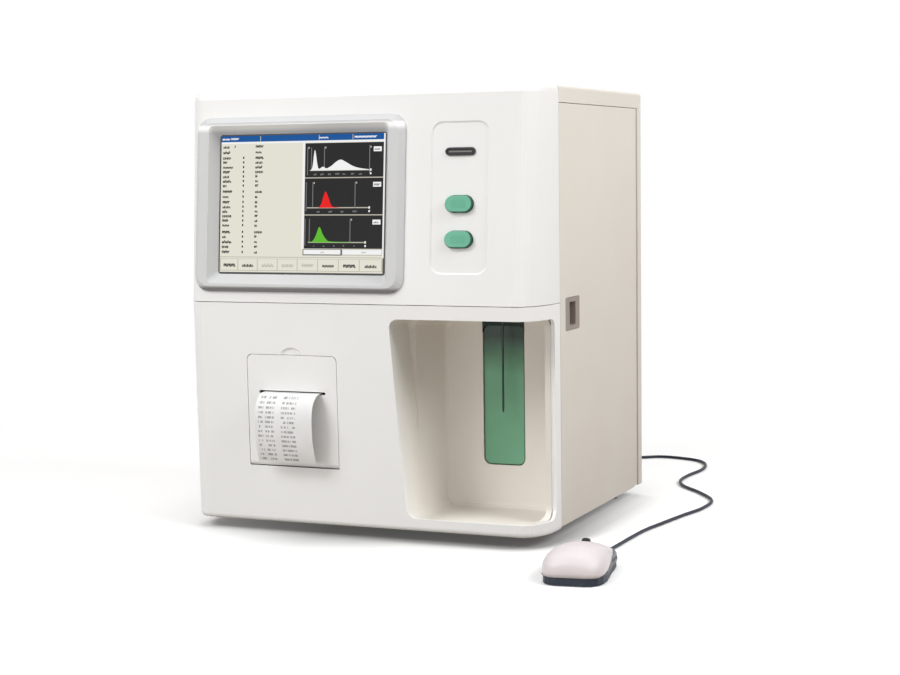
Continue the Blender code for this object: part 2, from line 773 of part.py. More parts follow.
def screen(bezel_paint, glass):
    outer = rounded(SCREEN_X, Z_SCREEN, BEZEL_W, BEZEL_H, BEZEL_R)
    crest = rounded(SCREEN_X, Z_SCREEN, BEZEL_W - 2 * BEZEL_SLOPE, BEZEL_H - 2 * BEZEL_SLOPE,
                    BEZEL_R - BEZEL_SLOPE / 2)
    mouth = rounded(SCREEN_X, Z_SCREEN, CREST_IN_W - 2 * GAP, CREST_IN_H - 2 * GAP, BEZEL_SLOPE)
    funnel = rounded(SCREEN_X, Z_SCREEN, CREST_IN_W - 4 * GAP, CREST_IN_H - 4 * GAP, BEZEL_SLOPE)
    window = rounded(SCREEN_X, Z_SCREEN, WINDOW_W, WINDOW_H, BEZEL_SLOPE / 2)
    ring = panel_loft(((crest, -BEZEL_PROUD), (outer, -GAP - BEZEL_SLOPE / 4), (outer, -GAP)))
    tongue = prism(mouth, "Y", -BEZEL_PROUD / 2, WINDOW_SINK)
    hole = panel_loft(((funnel, -BEZEL_PROUD - OVERRUN), (funnel, -BEZEL_PROUD), (window, WINDOW_SINK),
                       (window, WINDOW_SINK + OVERRUN)))
    solid("screen_bezel", on_upper(ring), bezel_paint, adds=[on_upper(tongue)], cuts=[on_upper(hole)])
    seat = WINDOW_SINK + GAP
    panel = prism(rounded(SCREEN_X, Z_SCREEN, LCD_W, LCD_H, BEZEL_SLOPE / 2), "Y", seat, seat + LCD_T)
    solid("lcd_panel", on_upper(panel), glass)


BOARD_W = DISH_W + 2 * DISH_R
BOARD_H = Z_START - Z_DRAIN + 2 * KEY_H


def key(name, z, green):
    """A cap that slides in its hole, kept by a flange behind the wall, with a stem to its switch."""
    cap = prism(stadium(KEY_X, z, KEY_W, KEY_H), "Y", -KEY_PROUD, KEY_SEAT + KEY_FLANGE_T)
    flange = prism(stadium(KEY_X, z, KEY_W + 2 * KEY_FLANGE, KEY_H + 2 * KEY_FLANGE, 4), "Y",
                   KEY_SEAT, KEY_SEAT + KEY_FLANGE_T)
    stem = rod(KEY_X, z, STEM_R, "Y", KEY_SEAT, KEY_SEAT + KEY_FLANGE_T + KEY_STEM, 12)
    origin = (KEY_X, Y_SEAT - reach_upper(z), z)
    solid(name, on_upper(cap), green, adds=[on_upper(flange), on_upper(stem)], origin=origin,
          bevel=KEY_FLANGE_T / 2)


def lamp(rim_paint, lens_paint):
    rim = prism(stadium(KEY_X, Z_LAMP, LAMP_W, LAMP_H), "Y", DISH_SINK - LAMP_RIM, LAMP_DEPTH)
    hole = prism(stadium(KEY_X, Z_LAMP, LAMP_W - 2 * LAMP_RIM, LAMP_H - 2 * LAMP_RIM), "Y",
                 -OVERRUN, LAMP_DEPTH + OVERRUN)
    solid("lamp_rim", on_upper(rim), rim_paint, cuts=[on_upper(hole)])
    inset = 2 * (LAMP_RIM + GAP)
    lens = prism(stadium(KEY_X, Z_LAMP, LAMP_W - inset, LAMP_H - inset), "Y",
                 DISH_SINK - LAMP_RIM / 2, LAMP_DEPTH)
    solid("lamp_lens", on_upper(lens), lens_paint)


def key_board(board_paint):
    mid = (Z_START + Z_DRAIN) / 2
    board = prism(rounded(KEY_X, mid, BOARD_W, BOARD_H, STEM_R), "Y", KEY_BOARD, KEY_BOARD + BOARD_T)
    solid("key_board", on_upper(board), board_paint)


# Strip printer

BIN_IN_W = DOOR_W + 2 * BIN_WALL
BIN_FOOT = Z_DOOR_FOOT - DOOR_BARREL_R / 2
BIN_HEAD = Z_DOOR_TOP + BIN_WALL
PIN_Z = Z_DOOR_FOOT + DOOR_BARREL_R
PIN_Y = Y_SEAT - reach_lower(PIN_Z) + DOOR_BARREL_R
PLATEN_Z = Z_SLOT - PLATEN_R - PAPER_T / 2 - GAP
PLATEN_Y = Y_SEAT - reach_lower(PLATEN_Z) + PLATEN_BACK
ROLL_Z = Z_BASE + ROLL_UP
ROLL_Y = Y_SEAT - reach_lower(ROLL_Z) + ROLL_BACK
PAPER_STEPS = 14


def printer_bin(dark):
    front = MOULD_WALL + GAP
    mid = (BIN_FOOT + BIN_HEAD) / 2
    high = BIN_HEAD - BIN_FOOT
    outer = prism(rounded(DOOR_X, mid, BIN_IN_W + 2 * BIN_WALL, high + 2 * BIN_WALL, BIN_WALL, 2), "Y",
                  front, BIN_DEEP)
    hollow = prism(rounded(DOOR_X, mid, BIN_IN_W, high, BIN_WALL / 2, 1), "Y",
                   front - OVERRUN, BIN_DEEP - BIN_WALL)
    half = BIN_IN_W / 2 + BIN_WALL / 2
    spindle = rod(ROLL_Y, ROLL_Z, ROLL_PIN_R, "X", DOOR_X - half, DOOR_X + half, 16)
    door_pin = rod(PIN_Y, PIN_Z, DOOR_PIN_R, "X", DOOR_X - half, DOOR_X + half, 12)
    solid("printer_bin", on_lower(outer), dark, cuts=[on_lower(hollow)], late=[spindle, door_pin])


def printer_door(shell):
    body = prism(door_outline(0, PIN_Z), "Y", 0, DOOR_T)
    half = DOOR_W / 2
    barrel = rod(PIN_Y, PIN_Z, DOOR_BARREL_R, "X", DOOR_X - half, DOOR_X + half)
    hole = rod(PIN_Y, PIN_Z, DOOR_PIN_R + GAP, "X", DOOR_X - DOOR_W, DOOR_X + DOOR_W, 16)
    slot = prism(rounded(DOOR_X, Z_SLOT, SLOT_W, SLOT_H, SLOT_H / 3, 2), "Y", -OVERRUN, DOOR_T + OVERRUN)
    solid("printer_door", on_lower(body), shell, adds=[barrel], cuts=[hole, on_lower(slot)],
          origin=(DOOR_X, PIN_Y, PIN_Z), bevel=GAP)


def paper_path():
    """Middle line of the strip in (y, z), from just inside the slot round its curl."""
    face = Y_SEAT - reach_lower(Z_SLOT)
    foot_face = Y_SEAT - reach_lower(Z_SLOT - PAPER_DROP)
    shares = [k / PAPER_STEPS for k in range(1, PAPER_STEPS + 1)]
    flat = [face + (foot_face - face) * t - PAPER_T * 2 for t in shares]
    swings = [math.sin(math.pi * t ** 0.75) for t in shares]
    crest = Y_FRONT - PAPER_AHEAD + PAPER_T / 2
    bulge = min((y - crest) / swing for y, swing in zip(flat, swings[:-1]))
    points = [(face + DOOR_T + PAPER_TAIL, Z_SLOT), (face - PAPER_T, Z_SLOT)]
    for t, y, swing in zip(shares, flat, swings):
        points.append((y - bulge * swing, Z_SLOT - PAPER_DROP * t ** 1.25))
    return points


def ribbon(points, thickness):
    """Both sides of a path in (y, z), as one closed outline."""
    near, far = [], []
    for k, point in enumerate(points):
        before = Vector(points[max(k - 1, 0)])
        after = Vector(points[min(k + 1, len(points) - 1)])
        side = (after - before).normalized().orthogonal() * thickness / 2
        near.append(tuple(Vector(point) + side))
        far.append(tuple(Vector(point) - side))
    return near + far[::-1]


def printer_inside(paper, rubber, metal):
    half = PAPER_W / 2
    strip = prism(ribbon(paper_path(), PAPER_T), "X", DOOR_X - half, DOOR_X + half)
    solid("paper_strip", strip, paper, origin=(DOOR_X, PIN_Y, PIN_Z))
    roll = rod(ROLL_Y, ROLL_Z, ROLL_R, "X", DOOR_X - half, DOOR_X + half, 32)
    core = rod(ROLL_Y, ROLL_Z, ROLL_CORE_R, "X", DOOR_X - PAPER_W, DOOR_X + PAPER_W, 20)
    solid("paper_roll", roll, paper, cuts=[core], origin=(DOOR_X, ROLL_Y, ROLL_Z))
    end = BIN_IN_W / 2 - GAP
    platen = turned(PLATEN_Y, PLATEN_Z, "X", ((PLATEN_AXLE_R, DOOR_X - end), (PLATEN_AXLE_R, DOOR_X - half),
                                              (PLATEN_R, DOOR_X - half), (PLATEN_R, DOOR_X + half),
                                              (PLATEN_AXLE_R, DOOR_X + half), (PLATEN_AXLE_R, DOOR_X + end)),
                    20)
    solid("platen_roller", platen, rubber, origin=(DOOR_X, PLATEN_Y, PLATEN_Z))
    low = Z_SLOT + PAPER_T
    head = block((DOOR_X - half, PLATEN_Y - HEAD_D / 3, low),
                 (DOOR_X + half, PLATEN_Y + HEAD_D, low + HEAD_H))
    bracket = block((DOOR_X - half, PLATEN_Y + HEAD_D - BIN_WALL, low), (DOOR_X + half, PLATEN_Y + HEAD_D,
                                                                       BIN_HEAD - GAP))
    solid("print_head", head, metal, adds=[bracket])


# Sheet-metal body

def base_tray(steel):
    left = -X_SKIN_IN + GAP
    right = HALF_W - PANEL_FOLD - SHEET - GAP
    back = Y_REAR - SHEET - GAP
    floor = block((left, Y_SEAT + GAP, Z_BASE), (right, back, Z_BASE + SHEET))
    flange = block((left, Y_SEAT + GAP, Z_BASE), (left + SHEET, back, Z_BASE + PANEL_FOLD))
    tab = block((right - OVERRUN, HINGE_Y - HINGE_BARREL_R, Z_BASE), (X_SKIN_IN - GAP, back, Z_BASE + SHEET))
    holes = [rod(HINGE_X, HINGE_Y, HINGE_ROD_R + GAP, "Z", Z_BASE - OVERRUN, Z_BASE + OVERRUN, 16)]
    for x, y in foot_places():
        holes.append(rod(x, y, FOOT_SPIGOT_R + GAP, "Z", Z_BASE - OVERRUN, Z_BASE + OVERRUN, 16))
    solid("base_tray", floor, steel, adds=[flange, tab], cuts=holes)


def foot_places():
    return [(x, y) for y in (Y_SEAT + FOOT_INSET, Y_REAR - FOOT_INSET)
            for x in (-HALF_W + FOOT_INSET, HALF_W - FOOT_INSET)]


def feet(rubber):
    names = ("foot_front_left", "foot_front_right", "foot_rear_left", "foot_rear_right")
    top = FOOT_H - GAP
    for name, (x, y) in zip(names, foot_places()):
        profile = ((FOOT_R - FOOT_TAPER, 0), (FOOT_R, top), (FOOT_SPIGOT_R, top),
                   (FOOT_SPIGOT_R, Z_BASE + SHEET))
        solid(name, turned(x, y, "Z", profile, 20), rubber)


def top_lid(shell):
    def arch(inset, low):
        half = HALF_W - inset
        radius = BEND_R - inset / 2
        return round_corners(((-half, low), (half, low), (half, Z_TOP - inset), (-half, Z_TOP - inset)),
                             (0, 0, radius, radius), 2)
    low = Z_TOP - LID_SKIRT
    outer = prism(arch(0, low), "Y", Y_SEAT, Y_REAR)
    hollow = prism(arch(SHEET, low - OVERRUN), "Y", Y_SEAT - OVERRUN, Y_REAR - SHEET)
    tab_x = HALF_W - PANEL_FOLD - SHEET
    tab = block((tab_x, HINGE_Y - HINGE_BARREL_R, low), (HALF_W - SHEET / 2, Y_REAR - SHEET / 2, low + SHEET))
    hole = rod(HINGE_X, HINGE_Y, HINGE_ROD_R + GAP, "Z", low - OVERRUN, low + OVERRUN, 16)
    item = solid("top_lid", outer, shell, cuts=[hollow], late=[tab])
    combine(item, [hole], "DIFFERENCE")


def left_cover(shell):
    skin = block((-HALF_W, Y_SEAT + GAP, Z_BASE), (-X_SKIN_IN, Y_RETURN - LID_GAP, Z_PANEL_TOP))
    top = block((-HALF_W, Y_SEAT + GAP, Z_PANEL_TOP - SHEET),
                (-HALF_W + PANEL_FOLD, Y_RETURN - LID_GAP, Z_PANEL_TOP))
    solid("left_cover", skin, shell, adds=[top])


def service_door(shell, steel, dark):
    flange_end = HINGE_Y - HINGE_BARREL_R - SHEET - LID_GAP
    front = Y_SEAT + GAP
    skin = block((X_SKIN_IN, front, Z_BASE), (HALF_W, HINGE_Y, Z_PANEL_TOP))
    fold_x = HALF_W - PANEL_FOLD
    top = block((fold_x, front, Z_PANEL_TOP - SHEET), (X_SKIN_IN + SHEET / 2, flange_end, Z_PANEL_TOP))
    foot = block((fold_x, front, Z_BASE), (X_SKIN_IN + SHEET / 2, flange_end, Z_BASE + SHEET))
    hem = block((X_SKIN_IN - SHEET, front, Z_BASE + SHEET / 2),
                (X_SKIN_IN + SHEET / 2, front + PANEL_FOLD, Z_PANEL_TOP - SHEET / 2))
    low = Z_BASE + SHEET + GAP
    barrel = rod(HINGE_X, HINGE_Y, HINGE_BARREL_R, "Z", low, Z_PANEL_TOP)
    relief = block((X_SKIN_IN - PANEL_FOLD, flange_end, Z_BASE - OVERRUN), (HALF_W + OVERRUN, Y_RETURN, low))
    bore = rod(HINGE_X, HINGE_Y, HINGE_ROD_R + ROD_CLEAR, "Z", Z_BASE - OVERRUN, Z_PANEL_TOP + OVERRUN, 16)
    y = Y_SEAT + PULL_FRONT + PULL_W / 2
    z = Z_BASE + PULL_UP
    opening = prism(rounded(y, z, PULL_W + 2 * GAP, PULL_H + 2 * GAP, BEND_R, 2), "X",
                    X_SKIN_IN - OVERRUN, HALF_W + OVERRUN)
    solid("service_door", skin, shell, adds=[top, foot, hem, barrel], cuts=[relief, bore, opening],
          origin=(HINGE_X, HINGE_Y, Z_BASE))
    rod_top = Z_TOP - LID_SKIRT + 2 * SHEET
    solid("door_hinge_rod", rod(HINGE_X, HINGE_Y, HINGE_ROD_R, "Z", Z_BASE, rod_top, 16), steel)
    rim = prism(rounded(y, z, PULL_W, PULL_H, BEND_R, 2), "X", X_SKIN_IN - PULL_RIM, HALF_W)
    lap = prism(rounded(y, z, PULL_W + 4 * SHEET, PULL_H + 4 * SHEET, BEND_R, 2), "X",
                X_SKIN_IN - GAP - SHEET, X_SKIN_IN - GAP)
    wall = 2 * PULL_SHELL
    cup = prism(rounded(y, z, PULL_POCKET_W + wall, PULL_POCKET_H + wall, BEND_R, 2), "X",
                HALF_W - PULL_DEEP - PULL_SHELL, HALF_W - SHEET)
    pocket = prism(rounded(y, z, PULL_POCKET_W, PULL_POCKET_H, BEND_R / 2, 2), "X",
                   HALF_W - PULL_DEEP, HALF_W + OVERRUN)
    solid("door_pull", rim, dark, adds=[lap, cup], cuts=[pocket], origin=(HINGE_X, HINGE_Y, Z_BASE))


INLET_Z = Z_BASE + INLET_UP
ROCKER_Z = INLET_Z + INLET_H / 2 + INLET_WALL + ROCKER_H / 2
INLET_BODY_W = INLET_W + 2 * INLET_WALL
INLET_BODY_H = INLET_H + ROCKER_H + 3 * INLET_WALL
INLET_MID = (INLET_Z - INLET_H / 2 + ROCKER_Z + ROCKER_H / 2) / 2


def rear_panel(shell):
    skin = block((-HALF_W, Y_REAR - SHEET, Z_BASE), (HALF_W, Y_REAR, Z_PANEL_TOP))
    returns = [block((min(a, b), Y_RETURN, Z_BASE), (max(a, b), Y_REAR - SHEET / 2, Z_PANEL_TOP))
               for a, b in ((-HALF_W, -X_SKIN_IN), (HALF_W, X_SKIN_IN))]
    through = (Y_REAR - SHEET - OVERRUN, Y_REAR + OVERRUN)
    cuts = [prism(outline, "Y", *through) for outline in guard_slots()]
    for k in range(VENT_N):
        z = Z_BASE + VENT_UP + k * VENT_PITCH
        cuts.append(prism(stadium(VENT_X, z, VENT_W, VENT_H, 3), "Y", *through))
    cuts.append(prism(rounded(INLET_X, INLET_MID, INLET_BODY_W + 2 * GAP, INLET_BODY_H + 2 * GAP, GAP), "Y",
                      *through))
    cuts.append(prism(rounded(USB_X, Z_BASE + USB_UP, USB_W + 2 * USB_RIM + 2 * GAP,
                              USB_H + 2 * USB_RIM + 2 * GAP, GAP), "Y", *through))
    for k in range(PORT_N):
        cuts.append(rod(PORT_X + k * PORT_PITCH, Z_BASE + PORT_UP, BARB_R + 2 * GAP, "Y", *through, 12))
    solid("rear_panel", skin, shell, adds=returns, cuts=cuts)


def guard_slots():
    """Quarter rings that leave the fan guard's bars standing."""
    slots = []
    step = FAN_BORE_R / (GUARD_RINGS + 1)
    z0 = Z_BASE + FAN_UP
    for ring in range(1, GUARD_RINGS + 1):
        inner = ring * step + GUARD_BAR / 2
        outer = (ring + 1) * step - GUARD_BAR / 2
        for quarter in range(4):
            points = []
            for radius, order in ((inner, 1), (outer, -1)):
                lean = math.asin(GUARD_BAR / 2 / radius)
                angles = [lean + (math.pi / 2 - 2 * lean) * k / 4 for k in range(5)][::order]
                points += [(FAN_X + radius * math.cos(a + quarter * math.pi / 2),
                            z0 + radius * math.sin(a + quarter * math.pi / 2)) for a in angles]
            slots.append(points)
    return slots


# Needle lift above the bay

Y_RAIL = Y_PROBE + RAIL_BEHIND
LIFT_Y = Y_RAIL + CARRIAGE_LIP + LIFT_PLATE_T
LIFT_FOOT = Z_LINER_TOP + GAP
MOTOR_LOW = Z_TOP - SHEET - GAP - MOTOR_H
LIFT_HEAD = MOTOR_LOW - GAP
RAIL_X = PROBE_X - RAIL_SPREAD
SCREW_X = PROBE_X + RAIL_SPREAD
CARRIAGE_Z = Z_BASE + CARRIAGE_UP


def needle_lift(steel, dark, cream, brass):
    left = INNER_X + INNER_T + GAP
    right = PROBE_X + LIFT_W / 2
    plate = block((left, LIFT_Y, LIFT_FOOT), (right, LIFT_Y + LIFT_PLATE_T, LIFT_HEAD))
    shelf_x = PROBE_X - LIFT_W / 2
    shelf_y = Y_RAIL - CARRIAGE_LIP
    foot = block((shelf_x, shelf_y, LIFT_FOOT), (right, LIFT_Y + GAP, LIFT_FOOT + LIFT_PLATE_T))
    head = block((shelf_x, shelf_y - CARRIAGE_LIP, LIFT_HEAD - LIFT_PLATE_T),
                 (right, LIFT_Y + GAP, LIFT_HEAD))
    wing = block((left, LIFT_Y, LIFT_FOOT), (left + LIFT_PLATE_T, LIFT_Y + LIFT_SHELF, LIFT_HEAD))
    shaft_hole = rod(SCREW_X, Y_RAIL, SCREW_R + RUN_CLEAR, "Z", LIFT_HEAD - OVERRUN, LIFT_HEAD + OVERRUN, 16)
    foot_hole = rod(SCREW_X, Y_RAIL, SCREW_R + RUN_CLEAR, "Z", LIFT_FOOT + GAP, LIFT_FOOT + OVERRUN, 16)
    rail = rod(RAIL_X, Y_RAIL, RAIL_R, "Z", LIFT_FOOT + GAP, LIFT_HEAD - GAP, 16)
    wash = block((PROBE_X - RINSE_W / 2, Y_PROBE - RINSE_W / 2, LIFT_FOOT),
                 (PROBE_X + RINSE_W / 2, shelf_y + GAP, LIFT_FOOT + RINSE_H))
    wash_bore = rod(PROBE_X, Y_PROBE, PROBE_R + 2 * RUN_CLEAR, "Z", LIFT_FOOT - OVERRUN,
                    LIFT_FOOT + RINSE_H + OVERRUN, 12)
    solid("lift_frame", plate, steel, adds=[foot, head, wing, rail, wash],
          cuts=[shaft_hole, foot_hole, wash_bore])
    low = LIFT_FOOT + LIFT_PLATE_T
    solid("lift_screw", lead_screw(LIFT_FOOT + 2 * GAP, MOTOR_LOW - GAP), brass,
          origin=(SCREW_X, Y_RAIL, low))
    side = MOTOR_SIDE / 2
    chamfered = round_corners(((SCREW_X - side, Y_RAIL - side), (SCREW_X + side, Y_RAIL - side),
                               (SCREW_X + side, Y_RAIL + side), (SCREW_X - side, Y_RAIL + side)),
                              (MOTOR_CHAMFER,) * 4, 1)
    solid("lift_motor", prism(chamfered, "Z", MOTOR_LOW, MOTOR_LOW + MOTOR_H), dark)
    half = CARRIAGE_W / 2
    body = block((PROBE_X - half, Y_PROBE - CARRIAGE_LIP, CARRIAGE_Z),
                 (PROBE_X + half, Y_RAIL + CARRIAGE_LIP - RUN_CLEAR, CARRIAGE_Z + CARRIAGE_H))
    holes = [rod(x, Y_RAIL, r + RUN_CLEAR, "Z", CARRIAGE_Z - OVERRUN, CARRIAGE_Z + CARRIAGE_H + OVERRUN, 16)
             for x, r in ((RAIL_X, RAIL_R), (SCREW_X, SCREW_R))]
    holes.append(rod(PROBE_X, Y_PROBE, PROBE_R + GAP, "Z", CARRIAGE_Z - OVERRUN,
                     CARRIAGE_Z + CARRIAGE_H + OVERRUN, 12))
    origin = (PROBE_X, Y_PROBE, CARRIAGE_Z)
    solid("needle_carriage", body, cream, cuts=holes, origin=origin, bevel=PROBE_R)
    top = CARRIAGE_Z + CARRIAGE_H + GAP
    tip = Z_BASE + PROBE_TIP_UP
    profile = ((PROBE_R / 3, tip), (PROBE_R, tip + 2 * PROBE_R), (PROBE_R, top), (PROBE_HEAD_R, top),
               (PROBE_HEAD_R, top + PROBE_HEAD_H * 0.6), (PROBE_R, top + PROBE_HEAD_H * 0.6),
               (PROBE_R, top + PROBE_HEAD_H))
    solid("sample_needle", turned(PROBE_X, Y_PROBE, "Z", profile, 12), steel, origin=origin)


def lead_screw(low, high):
    """A screw with its thread as one ridge that winds up the shaft."""
    steps = 6
    rings = []
    count = int((high - low) / SCREW_LEAD * SCREW_RINGS)
    for k in range(count + 1):
        z = low + (high - low) * k / count
        ring = []
        for i in range(steps):
            angle = 2 * math.pi * i / steps
            wave = 0.5 + 0.5 * math.cos(angle - 2 * math.pi * (z - low) / SCREW_LEAD)
            radius = SCREW_R - SCREW_THREAD * wave
            ring.append((SCREW_X + radius * math.cos(angle), Y_RAIL + radius * math.sin(angle), z))
        rings.append(ring)
    return skin_rings(rings)


# Inner plate and what hangs on it

INNER_FACE = INNER_X + INNER_T
PLATE_LOW = Z_BASE + SHEET + GAP
PLATE_HIGH = Z_TOP - SHEET - GAP


def inner_plate(steel):
    back = Y_REAR - SHEET - GAP
    plate = block((INNER_X, Y_SEAT + GAP, PLATE_LOW), (INNER_FACE, back, PLATE_HIGH))
    foot = block((INNER_X - PANEL_FOLD, Y_SEAT + GAP, PLATE_LOW), (INNER_FACE, back, PLATE_LOW + SHEET))
    posts = [rod(y, z, BOSS_R, "X", INNER_X - BOARD_GAP + GAP, INNER_X + SHEET, 10)
             for y in (BOARD_Y - MAIN_BOARD_D / 3, BOARD_Y + MAIN_BOARD_D / 3)
             for z in (BOARD_Z - MAIN_BOARD_H / 3, BOARD_Z + MAIN_BOARD_H / 3)]
    hole_places = ((PUMP_Y + 2 * PUMP_R, Z_BASE + PUMP_UP),
                   (VALVE_Y + VALVE_PITCH * VALVE_N / 2, Z_BASE + VALVE_UP + 3 * VALVE_R))
    holes = [rod(y, z, INNER_HOLE_R, "X", INNER_X - OVERRUN, INNER_FACE + OVERRUN, 20)
             for y, z in hole_places]
    solid("inner_plate", plate, steel, adds=[foot], cuts=holes, late=posts)


BOARD_Y = (Y_SEAT + Y_REAR) / 2
BOARD_Z = Z_BASE + MAIN_BOARD_UP + MAIN_BOARD_H / 2


def electronics(board_paint, steel, dark):
    face = INNER_X - BOARD_GAP
    board = block((face - BOARD_T, BOARD_Y - MAIN_BOARD_D / 2, BOARD_Z - MAIN_BOARD_H / 2),
                  (face, BOARD_Y + MAIN_BOARD_D / 2, BOARD_Z + MAIN_BOARD_H / 2))
    chips = []
    for du, dv, w, h, t in CHIP_SHARES:
        y = BOARD_Y + du * MAIN_BOARD_D
        z = BOARD_Z + dv * MAIN_BOARD_H
        half_w = w * MAIN_BOARD_D / 2
        half_h = h * MAIN_BOARD_H / 2
        chips.append(block((face - BOARD_T - t * BOARD_GAP, y - half_w, z - half_h),
                           (face - BOARD_T / 2, y + half_w, z + half_h)))
    solid("main_board", board, board_paint, adds=chips)
    low = Z_BASE + SHEET + GAP
    back = Y_REAR - INLET_DEEP - 2 * OVERRUN
    case = block((POWER_X - POWER_W / 2, back - POWER_D, low), (POWER_X + POWER_W / 2, back, low + POWER_H))
    slots = [block((POWER_X - POWER_W / 2 + OVERRUN, back - POWER_D * s, low + POWER_H - SHEET),
                   (POWER_X + POWER_W / 2 - OVERRUN, back - POWER_D * s + SLOT_H, low + POWER_H + SHEET))
             for s in (0.2, 0.35, 0.5, 0.65, 0.8)]
    solid("power_supply", case, steel, cuts=slots, bevel=BEND_R / 2, segments=1)


def valve_bank(cream, steel):
    length = VALVE_PITCH * VALVE_N
    z = Z_BASE + VALVE_UP
    start = VALVE_Y
    x = INNER_FACE + GAP
    base = block((x, start, z - VALVE_BASE_H / 2), (x + VALVE_BASE_D, start + length, z + VALVE_BASE_H / 2))
    coils, nozzles = [], []
    for k in range(VALVE_N):
        y = start + (k + 0.5) * VALVE_PITCH
        coils.append(rod(y, z, VALVE_R, "X", x + VALVE_BASE_D / 2, x + VALVE_BASE_D + VALVE_L, 16))
        nozzles.append(rod(x + VALVE_BASE_D / 2, y, BARB_R / 2, "Z", z, z + VALVE_BASE_H, 8))
    solid("valve_bank", base, cream, adds=coils + nozzles)


def bath_block(clear):
    x = INNER_FACE + GAP
    z = Z_BASE + BATH_UP
    span = 2 * BATH_PITCH
    back_t = BATH_WALL * 2
    back = block((x, BATH_Y, z - BATH_WALL), (x + back_t, BATH_Y + span, z + BATH_H))
    cups, hollows = [], []
    for k in range(2):
        y = BATH_Y + (k + 0.5) * BATH_PITCH
        cx = x + BATH_D / 2 + back_t / 2
        profile = ((BATH_WALL, z - BATH_D / 2), (BATH_D / 2, z), (BATH_D / 2, z + BATH_H))
        inner = ((BATH_WALL / 2, z - BATH_D / 3), (BATH_D / 2 - BATH_WALL, z + BATH_WALL),
                 (BATH_D / 2 - BATH_WALL, z + BATH_H + OVERRUN))
        cups.append(turned(cx, y, "Z", profile, 20))
        hollows.append(turned(cx, y, "Z", inner, 20))
    solid("counting_baths", back, clear, adds=cups, cuts=hollows)


def syringe(steel, clear, dark):
    y = SYRINGE_Y
    x = INNER_FACE + SYRINGE_X_OUT
    low = Z_BASE + SYRINGE_UP
    high = low + SYRINGE_L
    wall_x = INNER_FACE + GAP
    half = SYRINGE_BACK_W / 2
    yoke = low - SYRINGE_TRAVEL - 2 * GAP
    drive_low = yoke - 2 * YOKE_H - GAP
    spine = block((wall_x, y - half, drive_low), (wall_x + SYRINGE_BACK_T, y + half, high))
    jaws = [block((wall_x + SYRINGE_BACK_T / 2, y - half, z), (x + SYRINGE_R, y + half, z + SYRINGE_GRIP))
            for z in (low + SYRINGE_GRIP, high - 2 * SYRINGE_GRIP)]
    base = block((wall_x, y - half, drive_low), (x + SYRINGE_R, y + half, drive_low + YOKE_H))
    bores = [rod(x, y, SYRINGE_R + GAP, "Z", low, high + OVERRUN, 24)]
    solid("syringe_frame", spine, steel, adds=jaws + [base], cuts=bores)
    wall = SYRINGE_WALL
    barrel = turned(x, y, "Z", ((SYRINGE_R, low), (SYRINGE_R, high), (BARB_R, high + wall),
                                (BARB_R, high + BARB_L / 2)), 24)
    bore = rod(x, y, SYRINGE_R - wall, "Z", low - OVERRUN, high - wall, 24)
    outlet = rod(x, y, BARB_BORE_R, "Z", high - 2 * wall, high + BARB_L, 10)
    solid("syringe_barrel", barrel, clear, cuts=[bore, outlet])
    fit = SYRINGE_R - wall - RUN_CLEAR
    head = high - SYRINGE_TRAVEL - 2 * wall
    profile = ((YOKE_R, yoke - YOKE_H), (YOKE_R, yoke), (PLUNGER_ROD_R, yoke),
               (PLUNGER_ROD_R, head - PLUNGER_HEAD), (fit, head - PLUNGER_HEAD), (fit, head))
    solid("syringe_plunger", turned(x, y, "Z", profile, 20), dark, origin=(x, y, yoke))


def waste_pump(cream, dark):
    x = INNER_FACE + GAP
    y = PUMP_Y
    z = Z_BASE + PUMP_UP
    body = rod(y, z, PUMP_R, "X", x, x + PUMP_DEPTH, 32)
    track = rod(y, z, PUMP_R - PUMP_WALL, "X", x + PUMP_BACK, x + PUMP_DEPTH + OVERRUN, 32)
    ports = [block((x, y + s * PUMP_R / 2 - PUMP_WALL, z - PUMP_R - PUMP_WALL),
                   (x + PUMP_DEPTH / 2, y + s * PUMP_R / 2 + PUMP_WALL, z - PUMP_R / 2)) for s in (-1, 1)]
    axle = rod(y, z, HUB_R, "X", x + PUMP_BACK / 2, x + PUMP_DEPTH, 16)
    solid("waste_pump", body, cream, adds=ports, cuts=[track], late=[axle])
    low = x + PUMP_BACK + GAP
    disc = rod(y, z, ROTOR_R, "X", low, low + ROTOR_T, 24)
    rollers = []
    for k in range(ROLLER_N):
        angle = 2 * math.pi * k / ROLLER_N + math.pi / 2
        rollers.append(rod(y + ROTOR_R * math.cos(angle), z + ROTOR_R * math.sin(angle), ROLLER_R, "X",
                           low, low + ROTOR_T + GAP, 12))
    bore = rod(y, z, HUB_R + RUN_CLEAR, "X", low - OVERRUN, low + ROTOR_T + OVERRUN, 16)
    solid("pump_rotor", disc, dark, adds=rollers, cuts=[bore], origin=(low, y, z))


# Rear fittings


